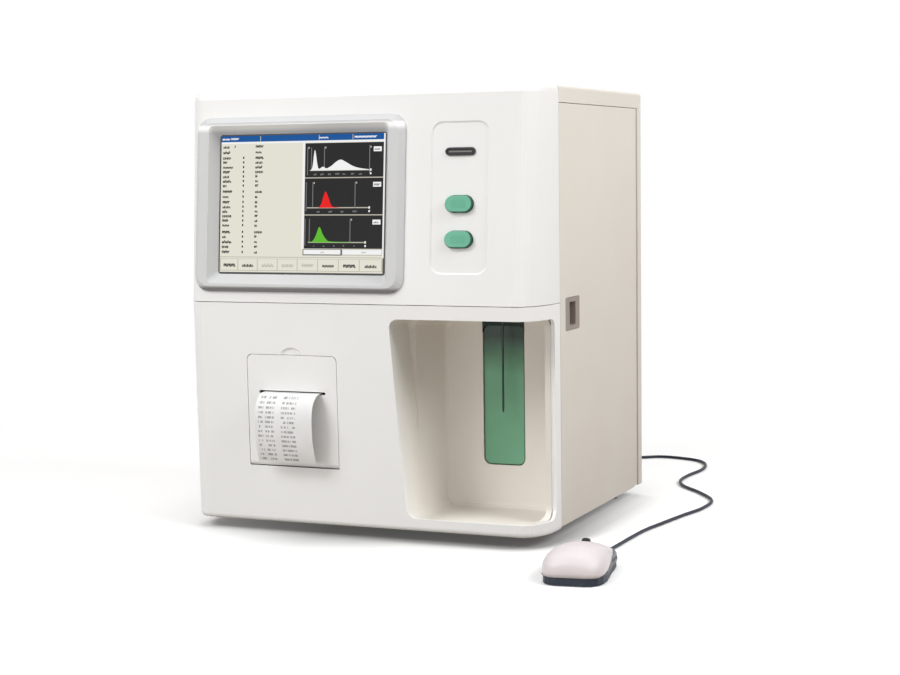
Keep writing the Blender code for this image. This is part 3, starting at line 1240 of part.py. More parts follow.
def fan(dark):
    z = Z_BASE + FAN_UP
    back = Y_REAR - SHEET - GAP
    low = back - FAN_T
    frame = prism(rounded(FAN_X, z, FAN_SIDE, FAN_SIDE, BEND_R, 2), "Y", low, back)
    bore = rod(FAN_X, z, FAN_BORE_R, "Y", low - OVERRUN, back + OVERRUN, 32)
    hub = rod(FAN_X, z, FAN_HUB_R, "Y", low, low + SHEET, 20)
    struts = []
    for k in range(3):
        angle = 2 * math.pi * k / 3 + math.pi / 6
        along = Vector((math.cos(angle), math.sin(angle)))
        across = Vector((-along.y, along.x)) * GUARD_BAR
        near = Vector((FAN_X, z)) + along * FAN_HUB_R / 2
        far = Vector((FAN_X, z)) + along * (FAN_BORE_R + SHEET)
        struts.append(prism([tuple(p) for p in (near - across, far - across, far + across, near + across)],
                            "Y", low, low + SHEET))
    pin = rod(FAN_X, z, HUB_R / 2, "Y", low, back - GUARD_BAR, 10)
    solid("fan_frame", frame, dark, cuts=[bore], late=[hub] + struts + [pin])
    front = low + SHEET + RUN_CLEAR
    rear = back - GUARD_BAR
    core = rod(FAN_X, z, FAN_HUB_R, "Y", front, rear, 20)
    half = FAN_PITCH_SHARE * FAN_HUB_R
    root = FAN_HUB_R - 2 * FAN_BLADE_T
    blades = []
    for k in range(FAN_BLADES):
        turn = 2 * math.pi * k / FAN_BLADES
        rings = []
        for radius in (root, FAN_TIP_R):
            ring = []
            for side, y in ((-1, front + OVERRUN / 4), (1, rear - OVERRUN / 4)):
                for thick in (-side, side):
                    swing = side * half + thick * FAN_BLADE_T / 2
                    point = Vector((radius, swing))
                    ring.append((FAN_X + point.x * math.cos(turn) - point.y * math.sin(turn), y,
                                 z + point.x * math.sin(turn) + point.y * math.cos(turn)))
            rings.append(ring)
        blades.append(skin_rings(rings))
    bore = rod(FAN_X, z, HUB_R / 2 + RUN_CLEAR, "Y", front - OVERRUN, rear + OVERRUN, 12)
    solid("fan_rotor", core, dark, adds=blades, cuts=[bore], origin=(FAN_X, front, z))


def mains_inlet(dark, steel):
    rim = prism(rounded(INLET_X, INLET_MID, INLET_BODY_W + 2 * INLET_RIM, INLET_BODY_H + 2 * INLET_RIM,
                        BEND_R, 2), "Y", Y_REAR + GAP, Y_REAR + GAP + SHEET)
    body = prism(rounded(INLET_X, INLET_MID, INLET_BODY_W, INLET_BODY_H, GAP, 1), "Y",
                 Y_REAR - INLET_DEEP, Y_REAR + SHEET / 2)
    low = INLET_Z - INLET_H / 2
    wide = INLET_W / 2
    chamfer = INLET_H / 4
    high = INLET_Z + INLET_H / 2
    shape = ((INLET_X - wide, low), (INLET_X + wide, low), (INLET_X + wide, high - chamfer),
             (INLET_X + wide - chamfer, high), (INLET_X - wide + chamfer, high),
             (INLET_X - wide, high - chamfer))
    mouth = Y_REAR + GAP + SHEET
    pocket = prism(shape, "Y", mouth - INLET_POCKET, mouth + OVERRUN)
    well = prism(rounded(INLET_X, ROCKER_Z, ROCKER_W, ROCKER_H, GAP, 1), "Y", mouth - ROCKER_DEEP,
                 mouth + OVERRUN)
    pins = []
    for dx, dz in ((-1, 0), (1, 0), (0, 1)):
        x = INLET_X + dx * INLET_W / 4
        z = INLET_Z - BLADE_H / 2 + dz * BLADE_H
        pins.append(block((x - BLADE_W / 2, mouth - INLET_POCKET - SHEET, z - BLADE_H / 2),
                          (x + BLADE_W / 2, mouth - INLET_POCKET + BLADE_L, z + BLADE_H / 2)))
    solid("mains_inlet", rim, dark, adds=[body], cuts=[pocket, well], late=pins)
    pivot_y = mouth - ROCKER_DEEP / 3
    face = ROCKER_DEEP / 3 + ROCKER_PROUD / 2
    half = ROCKER_H / 2 - 2 * GAP - face * math.sin(ROCKER_TILT)
    shape = ((-ROCKER_DEEP / 3, -half / 2), (-ROCKER_DEEP / 3, half / 2), (face, half),
             (face - ROCKER_PROUD / 4, 0), (face, -half))
    outline = []
    for v, w in shape:
        outline.append((pivot_y + v * math.cos(ROCKER_TILT) - w * math.sin(ROCKER_TILT),
                        ROCKER_Z + v * math.sin(ROCKER_TILT) + w * math.cos(ROCKER_TILT)))
    inner = ROCKER_W / 2 - GAP
    solid("power_rocker", prism(outline, "X", INLET_X - inner, INLET_X + inner), dark,
          origin=(INLET_X, pivot_y, ROCKER_Z))


def reagent_ports(cream):
    span = (PORT_N - 1) * PORT_PITCH
    mid = PORT_X + span / 2
    z = Z_BASE + PORT_UP
    face = Y_REAR + GAP
    plate = prism(rounded(mid, z, span + PORT_PLATE_H, PORT_PLATE_H, BEND_R * 2, 2), "Y", face,
                  face + PORT_PLATE_T)
    adds, cuts = [], []
    tip = Y_REAR + REAR_REACH
    for k in range(PORT_N):
        x = PORT_X + k * PORT_PITCH
        step = BARB_L / 4
        profile = ((BARB_R, Y_REAR - SHEET - OVERRUN), (BARB_R, tip - 4 * step),
                   (BARB_WIDE_R, tip - 4 * step), (BARB_R, tip - 2 * step),
                   (BARB_WIDE_R, tip - 2 * step), (BARB_TIP_R, tip))
        adds.append(turned(x, z, "Y", profile, 10))
        cuts.append(rod(x, z, BARB_BORE_R, "Y", Y_REAR - SHEET - 2 * OVERRUN, tip + OVERRUN, 8))
    solid("reagent_ports", plate, cream, adds=adds, cuts=cuts)


def usb_socket(steel):
    z = Z_BASE + USB_UP
    w = USB_W + 2 * USB_RIM
    h = USB_H + 2 * USB_RIM
    body = prism(rounded(USB_X, z, w, h, GAP, 1), "Y", Y_REAR - USB_DEEP, Y_REAR + GAP)
    lap = prism(rounded(USB_X, z, w + 2 * USB_RIM, h + 2 * USB_RIM, GAP, 1), "Y",
                Y_REAR - SHEET - GAP - USB_RIM, Y_REAR - SHEET - GAP)
    mouth = prism(rounded(USB_X, z, USB_W, USB_H, GAP, 1), "Y", Y_REAR - USB_DEEP + USB_RIM, Y_REAR + OVERRUN)
    solid("usb_socket", body, steel, adds=[lap], cuts=[mouth])


# Service door catch under the lid

def door_catch(dark):
    right = HALF_W - PANEL_FOLD - GAP
    high = Z_TOP - SHEET - GAP
    front = Y_SEAT + PULL_FRONT
    solid("door_catch", block((right - CATCH_W, front, high - CATCH_H), (right, front + CATCH_D, high)), dark,
          bevel=BEND_R / 4, segments=1)


# Mouse, drawn about its own middle with its nose towards +Y, then turned and set down

def mouse_point(x, y, z):
    turn = Matrix.Rotation(MOUSE_TURN, 3, "Z")
    return turn @ Vector((x, y, z)) + Vector((MOUSE_X, MOUSE_Y, 0))


def on_mouse(bm):
    for vert in bm.verts:
        vert.co = mouse_point(*vert.co)
    return bm


def mouse_dome():
    rings = []
    for y_share, w_share, h_share in MOUSE_STATION_SHARES:
        half = MOUSE_W / 2 * w_share
        high = MOUSE_BASE_H + (MOUSE_H - MOUSE_BASE_H) * h_share
        ring = []
        for k in range(MOUSE_ARCH_STEPS + 1):
            angle = math.pi * k / MOUSE_ARCH_STEPS
            swell = abs(math.sin(angle)) ** MOUSE_ARCH_SHARE
            ring.append((half * math.cos(angle), MOUSE_L * y_share,
                         MOUSE_BASE_H + (high - MOUSE_BASE_H) * swell))
        rings.append(ring)
    return skin_rings(rings)


def mouse(shell, navy, rubber):
    half_w = MOUSE_W / 2
    half_l = MOUSE_L / 2
    split = MOUSE_L * MOUSE_SPLIT_SHARE
    ledge = MOUSE_BASE_H + MOUSE_KEY_FLOOR
    rows = ((1, MOUSE_STATION_SHARES), (-1, MOUSE_STATION_SHARES[::-1]))
    outline = [(half_w * w * MOUSE_FOOT_SHARE * side, (MOUSE_L - 4 * GAP) * y) for side, row in rows
               for y, w, h in row]
    base = prism(outline, "Z", MOUSE_SKATE, MOUSE_BASE_H - GAP)
    nose = half_l - RELIEF_R
    relief = rod(0, MOUSE_BASE_H / 2, RELIEF_R, "Y", nose, half_l + RELIEF_L, 12)
    pads = [prism(stadium(0, y, MOUSE_W / 2, MOUSE_BASE_H, 3), "Z", 0, MOUSE_SKATE + GAP)
            for y in (-MOUSE_L / 3, MOUSE_L / 3)]
    solid("mouse_base", on_mouse(base), navy, adds=[on_mouse(bm) for bm in [relief] + pads])
    far = MOUSE_L
    wheel_y = MOUSE_L * WHEEL_SHARE
    wheel_z = MOUSE_BASE_H + (MOUSE_H - MOUSE_BASE_H) * MOUSE_KEY_SHARE + WHEEL_PROUD - WHEEL_R
    slot = WHEEL_W / 2 + WHEEL_CLEAR
    reach = WHEEL_R + 2 * WHEEL_CLEAR
    front_box = block((-far, split, ledge), (far, far, far))
    well = block((-slot - GAP, wheel_y - reach, MOUSE_BASE_H + WHEEL_CLEAR),
                 (slot + GAP, wheel_y + reach, far))
    posts = []
    for side in (-1, 1):
        near = side * slot
        outer = side * (slot + WHEEL_POST)
        posts.append(block((min(near, outer), wheel_y - WHEEL_POST_R, ledge - WHEEL_CLEAR),
                           (max(near, outer), wheel_y + WHEEL_POST_R, wheel_z + WHEEL_POST_R)))
    bore = rod(wheel_y, wheel_z, WHEEL_AXLE_R + GAP, "X", -MOUSE_W / 4, MOUSE_W / 4, 16)
    item = solid("mouse_shell", on_mouse(mouse_dome()), shell,
                 cuts=[on_mouse(bm) for bm in [front_box, well]], late=[on_mouse(bm) for bm in posts])
    combine(item, [on_mouse(bore)], "DIFFERENCE")
    for name, side in (("mouse_button_left", -1), ("mouse_button_right", 1)):
        low = (0 if side > 0 else -far) + side * MOUSE_KEY_GAP / 2
        high = (far if side > 0 else 0) + side * MOUSE_KEY_GAP / 2
        keep = block((low, split + MOUSE_KEY_GAP, ledge + MOUSE_KEY_DROP), (high, far, far))
        gap = slot + WHEEL_POST + WHEEL_CLEAR
        pocket = block((-gap, wheel_y - WHEEL_POST_R - WHEEL_CLEAR, 0),
                       (gap, wheel_y + WHEEL_POST_R + WHEEL_CLEAR, wheel_z + WHEEL_POST_R + MOUSE_KEY_DROP))
        trough = block((-slot, wheel_y - reach, 0), (slot, wheel_y + reach, far))
        origin = tuple(mouse_point(0, split + MOUSE_KEY_GAP, ledge + MOUSE_KEY_DROP))
        item = raw(name, on_mouse(mouse_dome()), origin, shell)
        combine(item, [on_mouse(keep)], "INTERSECT")
        combine(item, [on_mouse(pocket), on_mouse(trough)], "DIFFERENCE")
        item.data.shade_smooth()
        item.data.set_sharp_from_angle(angle=SHARP_ANGLE)
    half = WHEEL_W / 2
    end = slot + WHEEL_POST - GAP
    profile = ((WHEEL_AXLE_R, -end), (WHEEL_AXLE_R, -half), (WHEEL_R - WHEEL_CLEAR, -half),
               (WHEEL_R, -half / 2), (WHEEL_R, half / 2), (WHEEL_R - WHEEL_CLEAR, half),
               (WHEEL_AXLE_R, half), (WHEEL_AXLE_R, end))
    solid("mouse_wheel", on_mouse(turned(wheel_y, wheel_z, "X", profile, 24)), rubber,
          origin=tuple(mouse_point(0, wheel_y, wheel_z)))


# The lead: plug, tail, coil and the run over the bench, each from one smooth curve

PLUG_Z = Z_BASE + USB_UP
PLUG_FACE = Y_REAR + 2 * GAP
PLUG_END = PLUG_FACE + PLUG_L + PLUG_RELIEF_L
CORD_Z = FLOOR_LIFT + CORD_R


def plug(navy):
    body = prism(rounded(USB_X, PLUG_Z, PLUG_W, PLUG_H, PLUG_H / 4, 3), "Y", PLUG_FACE, PLUG_FACE + PLUG_L)
    relief = turned(USB_X, PLUG_Z, "Y", ((RELIEF_R, PLUG_FACE + PLUG_L - OVERRUN), (RELIEF_R, PLUG_END)), 12)
    inset = 2 * PLUG_SHELL_CLEAR
    shell = prism(rounded(USB_X, PLUG_Z, USB_W - inset, USB_H - inset, GAP, 1), "Y",
                  PLUG_FACE - PLUG_SHELL_L, PLUG_FACE + OVERRUN)
    solid("mouse_plug", body, navy, adds=[relief, shell], bevel=PLUG_H / 10)


def smooth_run(route, step):
    """Even points along a curve through the route's points."""
    dense = []
    points = [Vector(p) for p in route]
    padded = [2 * points[0] - points[1]] + points + [2 * points[-1] - points[-2]]
    for a, b, c, d in zip(padded, padded[1:], padded[2:], padded[3:]):
        for k in range(16):
            t = k / 16
            dense.append(0.5 * (2 * b + (c - a) * t + (2 * a - 5 * b + 4 * c - d) * t ** 2
                                + (3 * b - a - 3 * c + d) * t ** 3))
    dense.append(points[-1])
    lengths = [0.0]
    for a, b in zip(dense, dense[1:]):
        lengths.append(lengths[-1] + (b - a).length)
    count = max(2, round(lengths[-1] / step))
    even, k = [], 0
    for i in range(count + 1):
        want = lengths[-1] * i / count
        while k < len(lengths) - 2 and lengths[k + 1] < want:
            k += 1
        even.append(dense[k].lerp(dense[k + 1], (want - lengths[k]) / (lengths[k + 1] - lengths[k])))
    return even, lengths[-1]


def tube(name, points, material, fineness):
    curve = bpy.data.curves.new(name, "CURVE")
    curve.dimensions = "3D"
    curve.bevel_depth = CORD_R
    curve.bevel_resolution = fineness
    curve.use_fill_caps = True
    line = curve.splines.new("POLY")
    line.points.add(len(points) - 1)
    for node, point in zip(line.points, points):
        node.co = (*point, 1.0)
    curve.materials.append(material)
    item = bpy.data.objects.new(name, curve)
    bpy.context.scene.collection.objects.link(item)
    return item


def coil_points():
    """In along the bench, up one layer at the eye, and out again on top, with straight ends."""
    count = round(COIL_TURNS * LOOP_POINTS)
    points = []
    middle = COIL_TURNS / 2
    for k in range(count + 1):
        t = COIL_TURNS * k / count
        radius = COIL_R - COIL_PITCH * min(t, COIL_TURNS - t)
        s = min(max((t - middle) / COIL_CLIMB_SHARE + 0.5, 0), 1)
        rise = COIL_PITCH * s * s * (3 - 2 * s)
        angle = math.pi + 2 * math.pi * t
        points.append(Vector((COIL_X + radius * math.cos(angle), COIL_Y + radius * math.sin(angle),
                              CORD_Z + rise)))
    away = Vector((0, 2 * CORD_R, 0))
    return [points[0] + away] + points + [points[-1] + away]


def least_gap(points):
    """Least free gap between stretches of the tube more than half a loop apart."""
    least = COIL_R
    for i, a in enumerate(points):
        for b in points[i + LOOP_POINTS // 2:]:
            least = min(least, (a - b).length - 2 * CORD_R)
    return least


def lead(navy):
    coil = coil_points()
    print("coil least gap to itself, mm:", round(least_gap(coil) * 1000, 2))
    tube("mouse_cord_coil", coil, navy, 1)
    start = coil[0] + Vector((0, GAP, 0))
    end = mouse_point(0, MOUSE_L / 2 + RELIEF_L + GAP, MOUSE_BASE_H / 2)
    before_end = mouse_point(0, MOUSE_L / 2 + 2 * RELIEF_L, CORD_Z)
    floor = [(x + HALF_W, y + Y_SEAT, CORD_Z) for x, y in ROUTE]
    run, length = smooth_run([start, start + Vector((0, RELIEF_L, 0))] + floor + [before_end, end], CORD_STEP)
    tube("mouse_cord", run, navy, 2)
    top = coil[-1] + Vector((0, GAP, 0))
    exit_point = Vector((USB_X, PLUG_END + GAP, PLUG_Z))
    drop = [(USB_X, exit_point.y + out, CORD_Z + (PLUG_Z - CORD_Z) * share) for out, share in TAIL_DROP]
    turn = [(USB_X - left, exit_point.y + out, CORD_Z) for left, out in TAIL_TURN]
    climb = [(top.x, top.y + RELIEF_L, (top.z + CORD_Z) / 2), top]
    tail, tail_length = smooth_run([exit_point] + drop + turn + climb, CORD_STEP)
    tube("mouse_cord_tail", tail, navy, 2)
    loops = sum((b - a).length for a, b in zip(coil, coil[1:]))
    print("lead length, mm:", round((length + tail_length + loops) * 1000))


def build():
    clear_scene()
    shell = paint("front_moulding", (0.90, 0.90, 0.89), 0.45)
    cover = paint("cover_paint", (0.80, 0.78, 0.75), 0.55)
    bezel = paint("bezel_plastic", (0.72, 0.72, 0.72), 0.45)
    cream = paint("bay_plastic", (0.66, 0.62, 0.57), 0.5)
    green = paint("plate_green", (0.19, 0.38, 0.23), 0.45)
    mint = paint("key_mint", (0.22, 0.52, 0.38), 0.45)
    glass = paint("display_glass", (0.72, 0.74, 0.72), 0.15)
    lens = paint("lamp_lens", (0.70, 0.85, 0.78), 0.25)
    grey = paint("trim_grey", (0.35, 0.32, 0.30), 0.5)
    dark = paint("dark_plastic", (0.035, 0.035, 0.04), 0.5)
    rubber = paint("black_rubber", (0.02, 0.02, 0.02), 0.8)
    steel = paint("plated_steel", (0.60, 0.60, 0.62), 0.35, 0.9)
    brass = paint("screw_steel", (0.45, 0.44, 0.42), 0.3, 1.0)
    board = paint("board_green", (0.02, 0.16, 0.07), 0.5)
    paper = paint("thermal_paper", (0.88, 0.88, 0.87), 0.6)
    clear = paint("clear_plastic", (0.75, 0.80, 0.82), 0.2)
    white = paint("mouse_white", (0.83, 0.79, 0.79), 0.4)
    navy = paint("mouse_navy", (0.022, 0.045, 0.075), 0.5)
    upper_front(shell)
    lower_front(shell)
    bay_liner(cream)
    needle_backplate(green)
    screen(bezel, glass)
    key("start_button", Z_START, mint)
    key("drain_button", Z_DRAIN, mint)
    lamp(grey, lens)
    key_board(board)
    printer_bin(dark)
    printer_door(shell)
    printer_inside(paper, rubber, dark)
    base_tray(steel)
    feet(rubber)
    top_lid(cover)
    left_cover(cover)
    service_door(cover, steel, grey)
    rear_panel(cover)
    door_catch(dark)
    needle_lift(steel, dark, cream, brass)
    inner_plate(steel)
    electronics(board, steel, dark)
    valve_bank(cream, steel)
    bath_block(clear)
    syringe(steel, clear, dark)
    waste_pump(cream, dark)
    fan(dark)
    mains_inlet(dark, steel)
    reagent_ports(cream)
    usb_socket(steel)
    mouse(white, navy, rubber)
    plug(navy)
    lead(navy)


build()
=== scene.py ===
import math

import bmesh
import bpy
from mathutils import Matrix, Vector


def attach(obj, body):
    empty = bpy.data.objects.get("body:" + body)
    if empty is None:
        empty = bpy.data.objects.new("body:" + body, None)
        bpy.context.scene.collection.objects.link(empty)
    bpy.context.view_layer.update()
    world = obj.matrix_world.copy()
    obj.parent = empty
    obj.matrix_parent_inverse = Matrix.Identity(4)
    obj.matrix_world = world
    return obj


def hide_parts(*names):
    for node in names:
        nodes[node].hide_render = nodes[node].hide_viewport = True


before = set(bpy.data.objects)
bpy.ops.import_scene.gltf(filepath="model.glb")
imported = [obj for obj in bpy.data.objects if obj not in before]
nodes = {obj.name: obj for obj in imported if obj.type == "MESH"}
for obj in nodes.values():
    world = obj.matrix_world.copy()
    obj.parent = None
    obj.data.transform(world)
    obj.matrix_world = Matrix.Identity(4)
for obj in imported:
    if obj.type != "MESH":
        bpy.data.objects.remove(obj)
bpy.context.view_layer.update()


# Places on the part that finishes and pieces share, in metres and radians

SIDE, SEAT, REAR = 0.180, -0.09325, 0.15475
SCREEN_X, SCREEN_Z = -0.056, 0.308
BEZEL_RISE = 0.081
KEY_X = 0.1045
START_Z, DRAIN_Z, LAMP_Z = 0.3075, 0.276, 0.354
PLATE_X = 0.109
MOUSE_AT = Vector((0.243, -0.22525, 0))
MOUSE_TURN = math.radians(8)
MOUSE_END = 0.046


# Camera at the photograph's place

CAMERA_AT = (0.73712, -1.66080, 0.34004)
CAMERA_AZIMUTH, CAMERA_PITCH, CAMERA_ROLL = 0.40152, -0.09199, -0.01329
FOCAL_PIXELS, IMAGE_WIDTH, SENSOR_WIDTH = 1844.66, 900, 36


def place_camera():
    right = Vector((math.cos(CAMERA_AZIMUTH), math.sin(CAMERA_AZIMUTH), 0))
    ahead = Vector((-math.sin(CAMERA_AZIMUTH), math.cos(CAMERA_AZIMUTH), 0))
    up = Vector((0, 0, 1))
    look = ahead * math.cos(CAMERA_PITCH) + up * math.sin(CAMERA_PITCH)
    top = up * math.cos(CAMERA_PITCH) - ahead * math.sin(CAMERA_PITCH)
    side = right * math.cos(CAMERA_ROLL) + top * math.sin(CAMERA_ROLL)
    crown = top * math.cos(CAMERA_ROLL) - right * math.sin(CAMERA_ROLL)
    data = bpy.data.cameras.new("camera")
    data.sensor_width = SENSOR_WIDTH
    data.lens = FOCAL_PIXELS * SENSOR_WIDTH / IMAGE_WIDTH
    data.clip_start = 0.05
    data.clip_end = 40
    camera = bpy.data.objects.new("camera", data)
    place = Matrix((side, crown, -look)).transposed().to_4x4()
    place.translation = CAMERA_AT
    camera.matrix_world = place
    bpy.context.scene.collection.objects.link(camera)
    bpy.context.scene.camera = camera


place_camera()


# Small helpers

def from_bmesh(name, bm, material):
    """A smooth object in the scene, with its faces turned outward."""
    bmesh.ops.recalc_face_normals(bm, faces=bm.faces)
    mesh = bpy.data.meshes.new(name)
    bm.to_mesh(mesh)
    bm.free()
    item = bpy.data.objects.new(name, mesh)
    bpy.context.scene.collection.objects.link(item)
    mesh.materials.append(material)
    for face in mesh.polygons:
        face.use_smooth = True
    return item


def join_rings(bm, low, high):
    """A closed band of faces between two rings of corners."""
    count = len(low)
    for k in range(count):
        bm.faces.new((low[k], low[(k + 1) % count], high[(k + 1) % count], high[k]))


def eased(points, steps):
    """A smooth curve through the points, in so many steps between each two."""
    made = []
    padded = [points[0]] + list(points) + [points[-1]]
    for a, b, c, d in zip(padded, padded[1:], padded[2:], padded[3:]):
        for k in range(steps):
            t = k / steps
            made.append(tuple(0.5 * (2 * q + (r - p) * t + (2 * p - 5 * q + 4 * r - s) * t * t
                                     + (3 * q - p - 3 * r + s) * t ** 3)
                              for p, q, r, s in zip(a, b, c, d)))
    return made + [points[-1]]


def srgb(value):
    value = value / 255
    return value / 12.92 if value <= 0.04045 else ((value + 0.055) / 1.055) ** 2.4


def tone(r, g, b):
    """A colour as it shows on a display, in steps of 0 to 255."""
    return (srgb(r), srgb(g), srgb(b), 1.0)


# Materials. The sockets of a colour mix share their names, so they are taken by place.

GRAIN, GRAIN_HEIGHT = 1400, 0.00004
EDGE_BLUR = 0.0003
MIX_SHARE, MIX_FIRST, MIX_SECOND, MIX_RESULT = 0, 6, 7, 2
SOCKETS = {
    "colour": "Base Color",
    "rough": "Roughness",
    "metal": "Metallic",
    "normal": "Normal",
    "specular": "Specular IOR Level",
    "glow": "Emission Color",
    "glow_strength": "Emission Strength",
}


class Nodes:
    """A short way to write a material's nodes."""

    def __init__(self, name):
        self.material = bpy.data.materials.new(name)
        self.material.use_nodes = True
        self.tree = self.material.node_tree
        self.shader = self.tree.nodes["Principled BSDF"]
        self.place = self.tree.nodes.new("ShaderNodeTexCoord").outputs["Object"]

    def put(self, target, value):
        if isinstance(value, bpy.types.NodeSocket):
            self.tree.links.new(value, target)
        else:
            target.default_value = value

    def noise(self, scale, detail=3.0, rough=0.5, stretch=None):
        node = self.tree.nodes.new("ShaderNodeTexNoise")
        node.inputs["Scale"].default_value = scale
        node.inputs["Detail"].default_value = detail
        node.inputs["Roughness"].default_value = rough
        source = self.place
        if stretch:
            mapping = self.tree.nodes.new("ShaderNodeMapping")
            mapping.inputs["Scale"].default_value = stretch
            self.tree.links.new(source, mapping.inputs["Vector"])
            source = mapping.outputs["Vector"]
        self.tree.links.new(source, node.inputs["Vector"])
        return node.outputs["Fac"]

    def voronoi(self, scale):
        node = self.tree.nodes.new("ShaderNodeTexVoronoi")
        node.inputs["Scale"].default_value = scale
        self.tree.links.new(self.place, node.inputs["Vector"])
        return node.outputs["Distance"]

    def ramp(self, value, low, high, out_low=0.0, out_high=1.0):
        node = self.tree.nodes.new("ShaderNodeMapRange")
        node.inputs["From Min"].default_value = low
        node.inputs["From Max"].default_value = high
        node.inputs["To Min"].default_value = out_low
        node.inputs["To Max"].default_value = out_high
        self.put(node.inputs["Value"], value)
        return node.outputs["Result"]

    def clouds(self, scale, detail, low, high, end=0.7):
        """Slow changes between two numbers over the surface."""
        return self.ramp(self.noise(scale, detail), 0.3, end, low, high)

    def mix(self, share, first, second):
        node = self.tree.nodes.new("ShaderNodeMix")
        node.data_type = "RGBA"
        self.put(node.inputs[MIX_SHARE], share)
        self.put(node.inputs[MIX_FIRST], first)
        self.put(node.inputs[MIX_SECOND], second)
        return node.outputs[MIX_RESULT]

    def math(self, kind, first, second=0.0):
        node = self.tree.nodes.new("ShaderNodeMath")
        node.operation = kind
        self.put(node.inputs[0], first)
        self.put(node.inputs[1], second)
        return node.outputs[0]

    def between(self, value, low, high):
        """One where the value lies between the two numbers, and nought elsewhere."""
        above = self.math("GREATER_THAN", value, low)
        return self.math("MULTIPLY", above, self.math("LESS_THAN", value, high))

    def length(self, first, second):
        """How long the line with these two legs is."""
        squares = [self.math("MULTIPLY", way, way) for way in (first, second)]
        return self.math("SQRT", self.math("ADD", *squares))

    def split(self):
        node = self.tree.nodes.new("ShaderNodeSeparateXYZ")
        self.tree.links.new(self.place, node.inputs[0])
        return node.outputs

    def bump(self, height, strength, distance, under=None):
        node = self.tree.nodes.new("ShaderNodeBump")
        node.inputs["Strength"].default_value = strength
        node.inputs["Distance"].default_value = distance
        self.tree.links.new(height, node.inputs["Height"])
        if under is not None:
            self.tree.links.new(under, node.inputs["Normal"])
        return node.outputs["Normal"]

    def grain(self, strength=0.35, scale=GRAIN):
        """The fine skin that a spark-eroded mould leaves."""
        return self.bump(self.noise(scale, 2), strength, GRAIN_HEIGHT)

    def set(self, **values):
        for key, value in values.items():
            self.put(self.shader.inputs[SOCKETS[key]], value)
        return self.material


def moulded(name, light, dark, rough, grain=GRAIN, patch=9):
    """Moulded plastic: a fine grain, slow changes of tone and faint handling marks."""
    n = Nodes(name)
    colour = n.mix(n.clouds(patch, 4, 0, 0.25), light, dark)
    smear = n.noise(38, 5, 0.6, stretch=(1, 1, 0.35))
    roughness = n.ramp(smear, 0.3, 0.75, rough - 0.05, rough + 0.08)
    return n.set(colour=colour, rough=roughness, normal=n.grain(scale=grain), specular=0.4)


def powder(name, light, dark, low):
    """Powder coat on sheet steel: an orange-peel skin, with painted shade that darkens it towards its foot.
    """
    n = Nodes(name)
    rough, peel_scale, peel_height, shade_top = 0.5, 620, 0.00006, 0.34
    colour = n.mix(n.clouds(6, 4, 0, 0.3), light, dark)
    # Painted shade: the low colour is mixed in towards the foot, fading out at shade_top.
    colour = n.mix(n.ramp(n.split()["Z"], 0.0, shade_top, 0.42, 0.0), colour, low)
    under = n.bump(n.noise(peel_scale * 4, 1), 0.2, peel_height / 3)
    peel = n.bump(n.noise(peel_scale, 2, 0.4), 0.35, peel_height, under)
    roughness = n.clouds(26, 4, rough - 0.05, rough + 0.07)
    return n.set(colour=colour, rough=roughness, normal=peel, specular=0.4)


def metal(name, light, dark, rough, stretch=(1, 1, 30)):
    """Plated or brushed metal with fine drawn lines."""
    n = Nodes(name)
    lines = n.noise(420, 3, 0.6, stretch=stretch)
    colour = n.mix(n.ramp(lines, 0.25, 0.75), light, dark)
    roughness = n.ramp(lines, 0.2, 0.8, rough - 0.06, rough + 0.1)
    return n.set(colour=colour, rough=roughness, metal=1.0, normal=n.bump(lines, 0.15, 0.00003))


def from_edge(n, x, z, middle, size, corner, foot_only=False):
    """Distance inside (negative) or outside a rounded rectangle in the XZ plane."""
    side = n.math("SUBTRACT", n.math("ABSOLUTE", n.math("SUBTRACT", x, middle[0])), size[0] / 2 - corner)
    rise = n.math("SUBTRACT", z, middle[1])
    away = n.math("MULTIPLY", rise, -1.0) if foot_only else n.math("ABSOLUTE", rise)
    away = n.math("SUBTRACT", away, size[1] / 2 - corner)
    side = n.math("MAXIMUM", side, 0.0)
    away = n.math("MAXIMUM", away, 0.0)
    return n.math("SUBTRACT", n.length(side, away), corner)


# The key's rim is shifted up and left, so that the painted shade outside it lies widest on the lower right.
KEY_RIM, KEY_RIM_CORNER, KEY_RIM_EDGE = (0.0264, 0.0152), 0.0076, (-0.0009, -0.0002)
KEY_PAD, KEY_PAD_CORNER, KEY_PAD_EDGE = (0.0150, 0.0078), 0.0022, (-0.0008, 0.0004)
KEY_SHADE_LEFT, KEY_SHADE_UP = 0.0004, 0.0006


def key_top(name, height, light, dark, edge):
    """A soft key: a lighter shoulder as painted highlight, a darker pad, and painted shade on the wall at
    its lower right.
    """
    n = Nodes(name)
    x, _, z = n.split()
    rim = from_edge(n, x, z, (KEY_X - KEY_SHADE_LEFT, height + KEY_SHADE_UP), KEY_RIM, KEY_RIM_CORNER)
    pad = from_edge(n, x, z, (KEY_X, height), KEY_PAD, KEY_PAD_CORNER)
    base = n.mix(n.clouds(60, 4, 0, 0.4), light, dark)
    base = n.mix(n.ramp(pad, *KEY_PAD_EDGE, 0.55, 0.0), base, dark)
    # Painted shade: the edge colour outside the rim stands for the key's shaded lower right wall.
    base = n.mix(n.ramp(rim, *KEY_RIM_EDGE), base, edge)
    return n.set(colour=base, rough=n.clouds(38, 4, 0.34, 0.46, 0.75), normal=n.grain(), specular=0.4)


BEZEL_SHADE, CREST_START, CREST_END = (0.0030, 0.0058), (0.014, 0.010), (0.008, 0.006)


